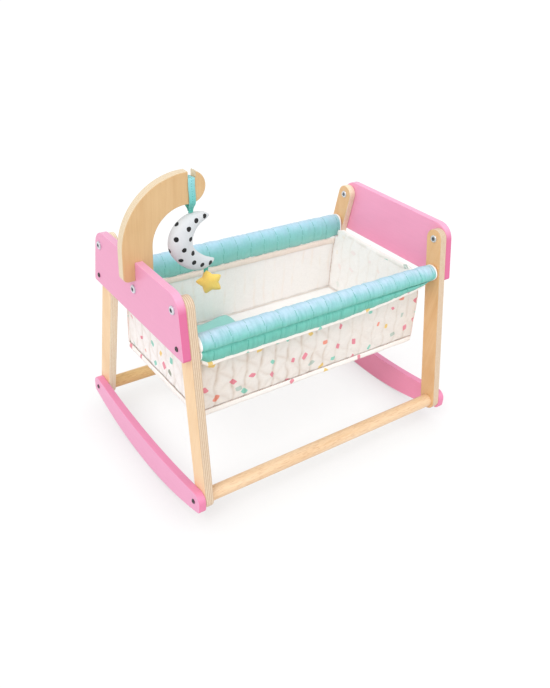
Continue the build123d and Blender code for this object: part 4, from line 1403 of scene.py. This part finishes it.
def dress_basket():
    """Cloth pieces of the basket."""
    # The groove tones are painted shade in the quilted pieces' sewn lines.
    # The linings are set near full white, above the cloth's own cream, as painted light inside the basket.
    # The side walls' outer cloth is a darker copy of the end walls': painted shade on walls facing away from
    # the light.
    outer = confetti_cloth("confetti_cloth", tone(238, 234, 229), tone(239, 230, 222), 0.92,
                           groove_shade=tone(224, 211, 200))
    end_outer = confetti_cloth("end_cloth", tone(250, 248, 246), tone(250, 245, 241), 0.92,
                               groove_shade=tone(234, 225, 218))
    end_lining = confetti_cloth("end_lining", tone(255, 254, 252), tone(255, 251, 248), 0.10,
                                groove_shade=tone(248, 245, 242))
    lining = pad_cloth("lining", tone(255, 252, 249), tone(255, 249, 245), 0.8, tone(252, 246, 240))
    binding = confetti_cloth("white_binding", tone(250, 246, 241), tone(251, 246, 241), 0.9, 38.0)
    piping = confetti_cloth("corner_piping", tone(230, 200, 190), tone(246, 238, 232), 0.85, 24.0)
    flap_edge = confetti_cloth("flap_piping", tone(254, 246, 240), tone(251, 244, 238), 0.9, 34.0)
    beige = pad_cloth("beige_tape", tone(250, 236, 224), tone(242, 224, 212), 0.4)
    seam_white = pad_cloth("floor_seam_cloth", tone(255, 248, 241), tone(250, 238, 229), 0.4)
    white = pad_cloth("white_pad", tone(254, 253, 251), tone(251, 250, 247))
    plain = pad_cloth("underside_cloth", tone(246, 243, 238), tone(240, 236, 230))
    thread = seam_thread()
    aqua = sleeve_cloth()
    slot = "white_binding"

    walls, around = wall_band()
    settle(walls, "confetti_cloth", outer, lining, end_lining, end_outer,
           nodes=("basket_near_wall", "basket_far_wall", "basket_head_wall", "basket_foot_wall"))
    flange, edging = bottom_flange()
    settle(flange, slot, binding, nodes=("seam_piping",))
    sling = settle(underside(), "confetti_cloth", plain, nodes=("basket_floor",))
    pad = settle(floor_pad(), "white_pad", white, nodes=("mattress",))
    sewn = [flange, settle(edging, slot, thread), settle(floor_seam(), slot, seam_white)]
    for end, name in ENDS:
        sewn.append(settle(end_hem(end, f"{name}_hem"), slot, binding, nodes=(f"basket_{name}_hem",)))
        for side, side_name in SIDES:
            corner = f"{name}_{side_name}_corner"
            sewn.append(settle(corner_seam(end, side, f"{corner}_seam"), slot, thread))
            sewn.append(settle(corner_piping(end, side, f"{corner}_piping"), slot, piping))
    area = (side_top - seam_z) * around + 4 * (end_top - wall_top) * basket_half_y
    around * MM
    area * MM * MM
    for side, name in SIDES:
        roll, rings = sleeve(side, f"{name}_sleeve_cloth")
        settle(roll, "teal_quilt", aqua, white, nodes=(f"{name}_sleeve",))
        settle(flap_strip(side, f"{name}_flap_strip"), slot, flap_edge)
        for end, end_name in ENDS:
            settle(end_ring(rings, side, end, f"{name}_sleeve_{end_name}_binding"), slot, white)
        settle(sleeve_tape(side, f"{name}_tape"), slot, beige)


def dress_pillow():
    """The pillow and its seam."""
    cloth = pad_cloth("teal_pillow", tone(164, 228, 220), tone(152, 221, 213), 0.5)
    cover, cord = pillow()
    settle(cover, "teal_pillow", cloth, body="pillow", nodes=("pillow",))
    settle(cord, "teal_pillow", cloth, body="pillow")


def dress_toys():
    """Strap, moon, star and their tabs."""
    woven = ribbon_cloth()
    settle(strap(), "teal_ribbon", woven, nodes=("strap_loop",))
    hanger = tab("moon_hanger", tab_low, tab_high, 1.9, strap_narrow, strap_aside)
    settle(hanger, "teal_ribbon", woven, body="moon_tab", nodes=("moon_tab",))
    hanger = tab("star_hanger", star_tab_low, star_tab_high, 1.2, 0.5, grow=0.8)
    settle(hanger, "teal_ribbon", woven, body="star", nodes=("star_tab",))
    toy = settle(moon(), "moon_cloth", moon_cloth(moon_dots()), body="moon", nodes=("moon",))
    yellow = star_cloth()
    gold, seam = star()
    settle(gold, "star_cloth", yellow, body="star", nodes=("star",))
    settle(seam, "star_cloth", yellow, body="star")


dress_frame()
dress_basket()
dress_pillow()
dress_toys()
stage_floor()
world()
sun("key", (-0.8, -0.35, 1.0), 30.0, 0.9)
sun("front", (0.25, -0.95, 0.75), 40.0, 0.45)
camera()
bpy.context.scene.view_settings.view_transform = "Standard"
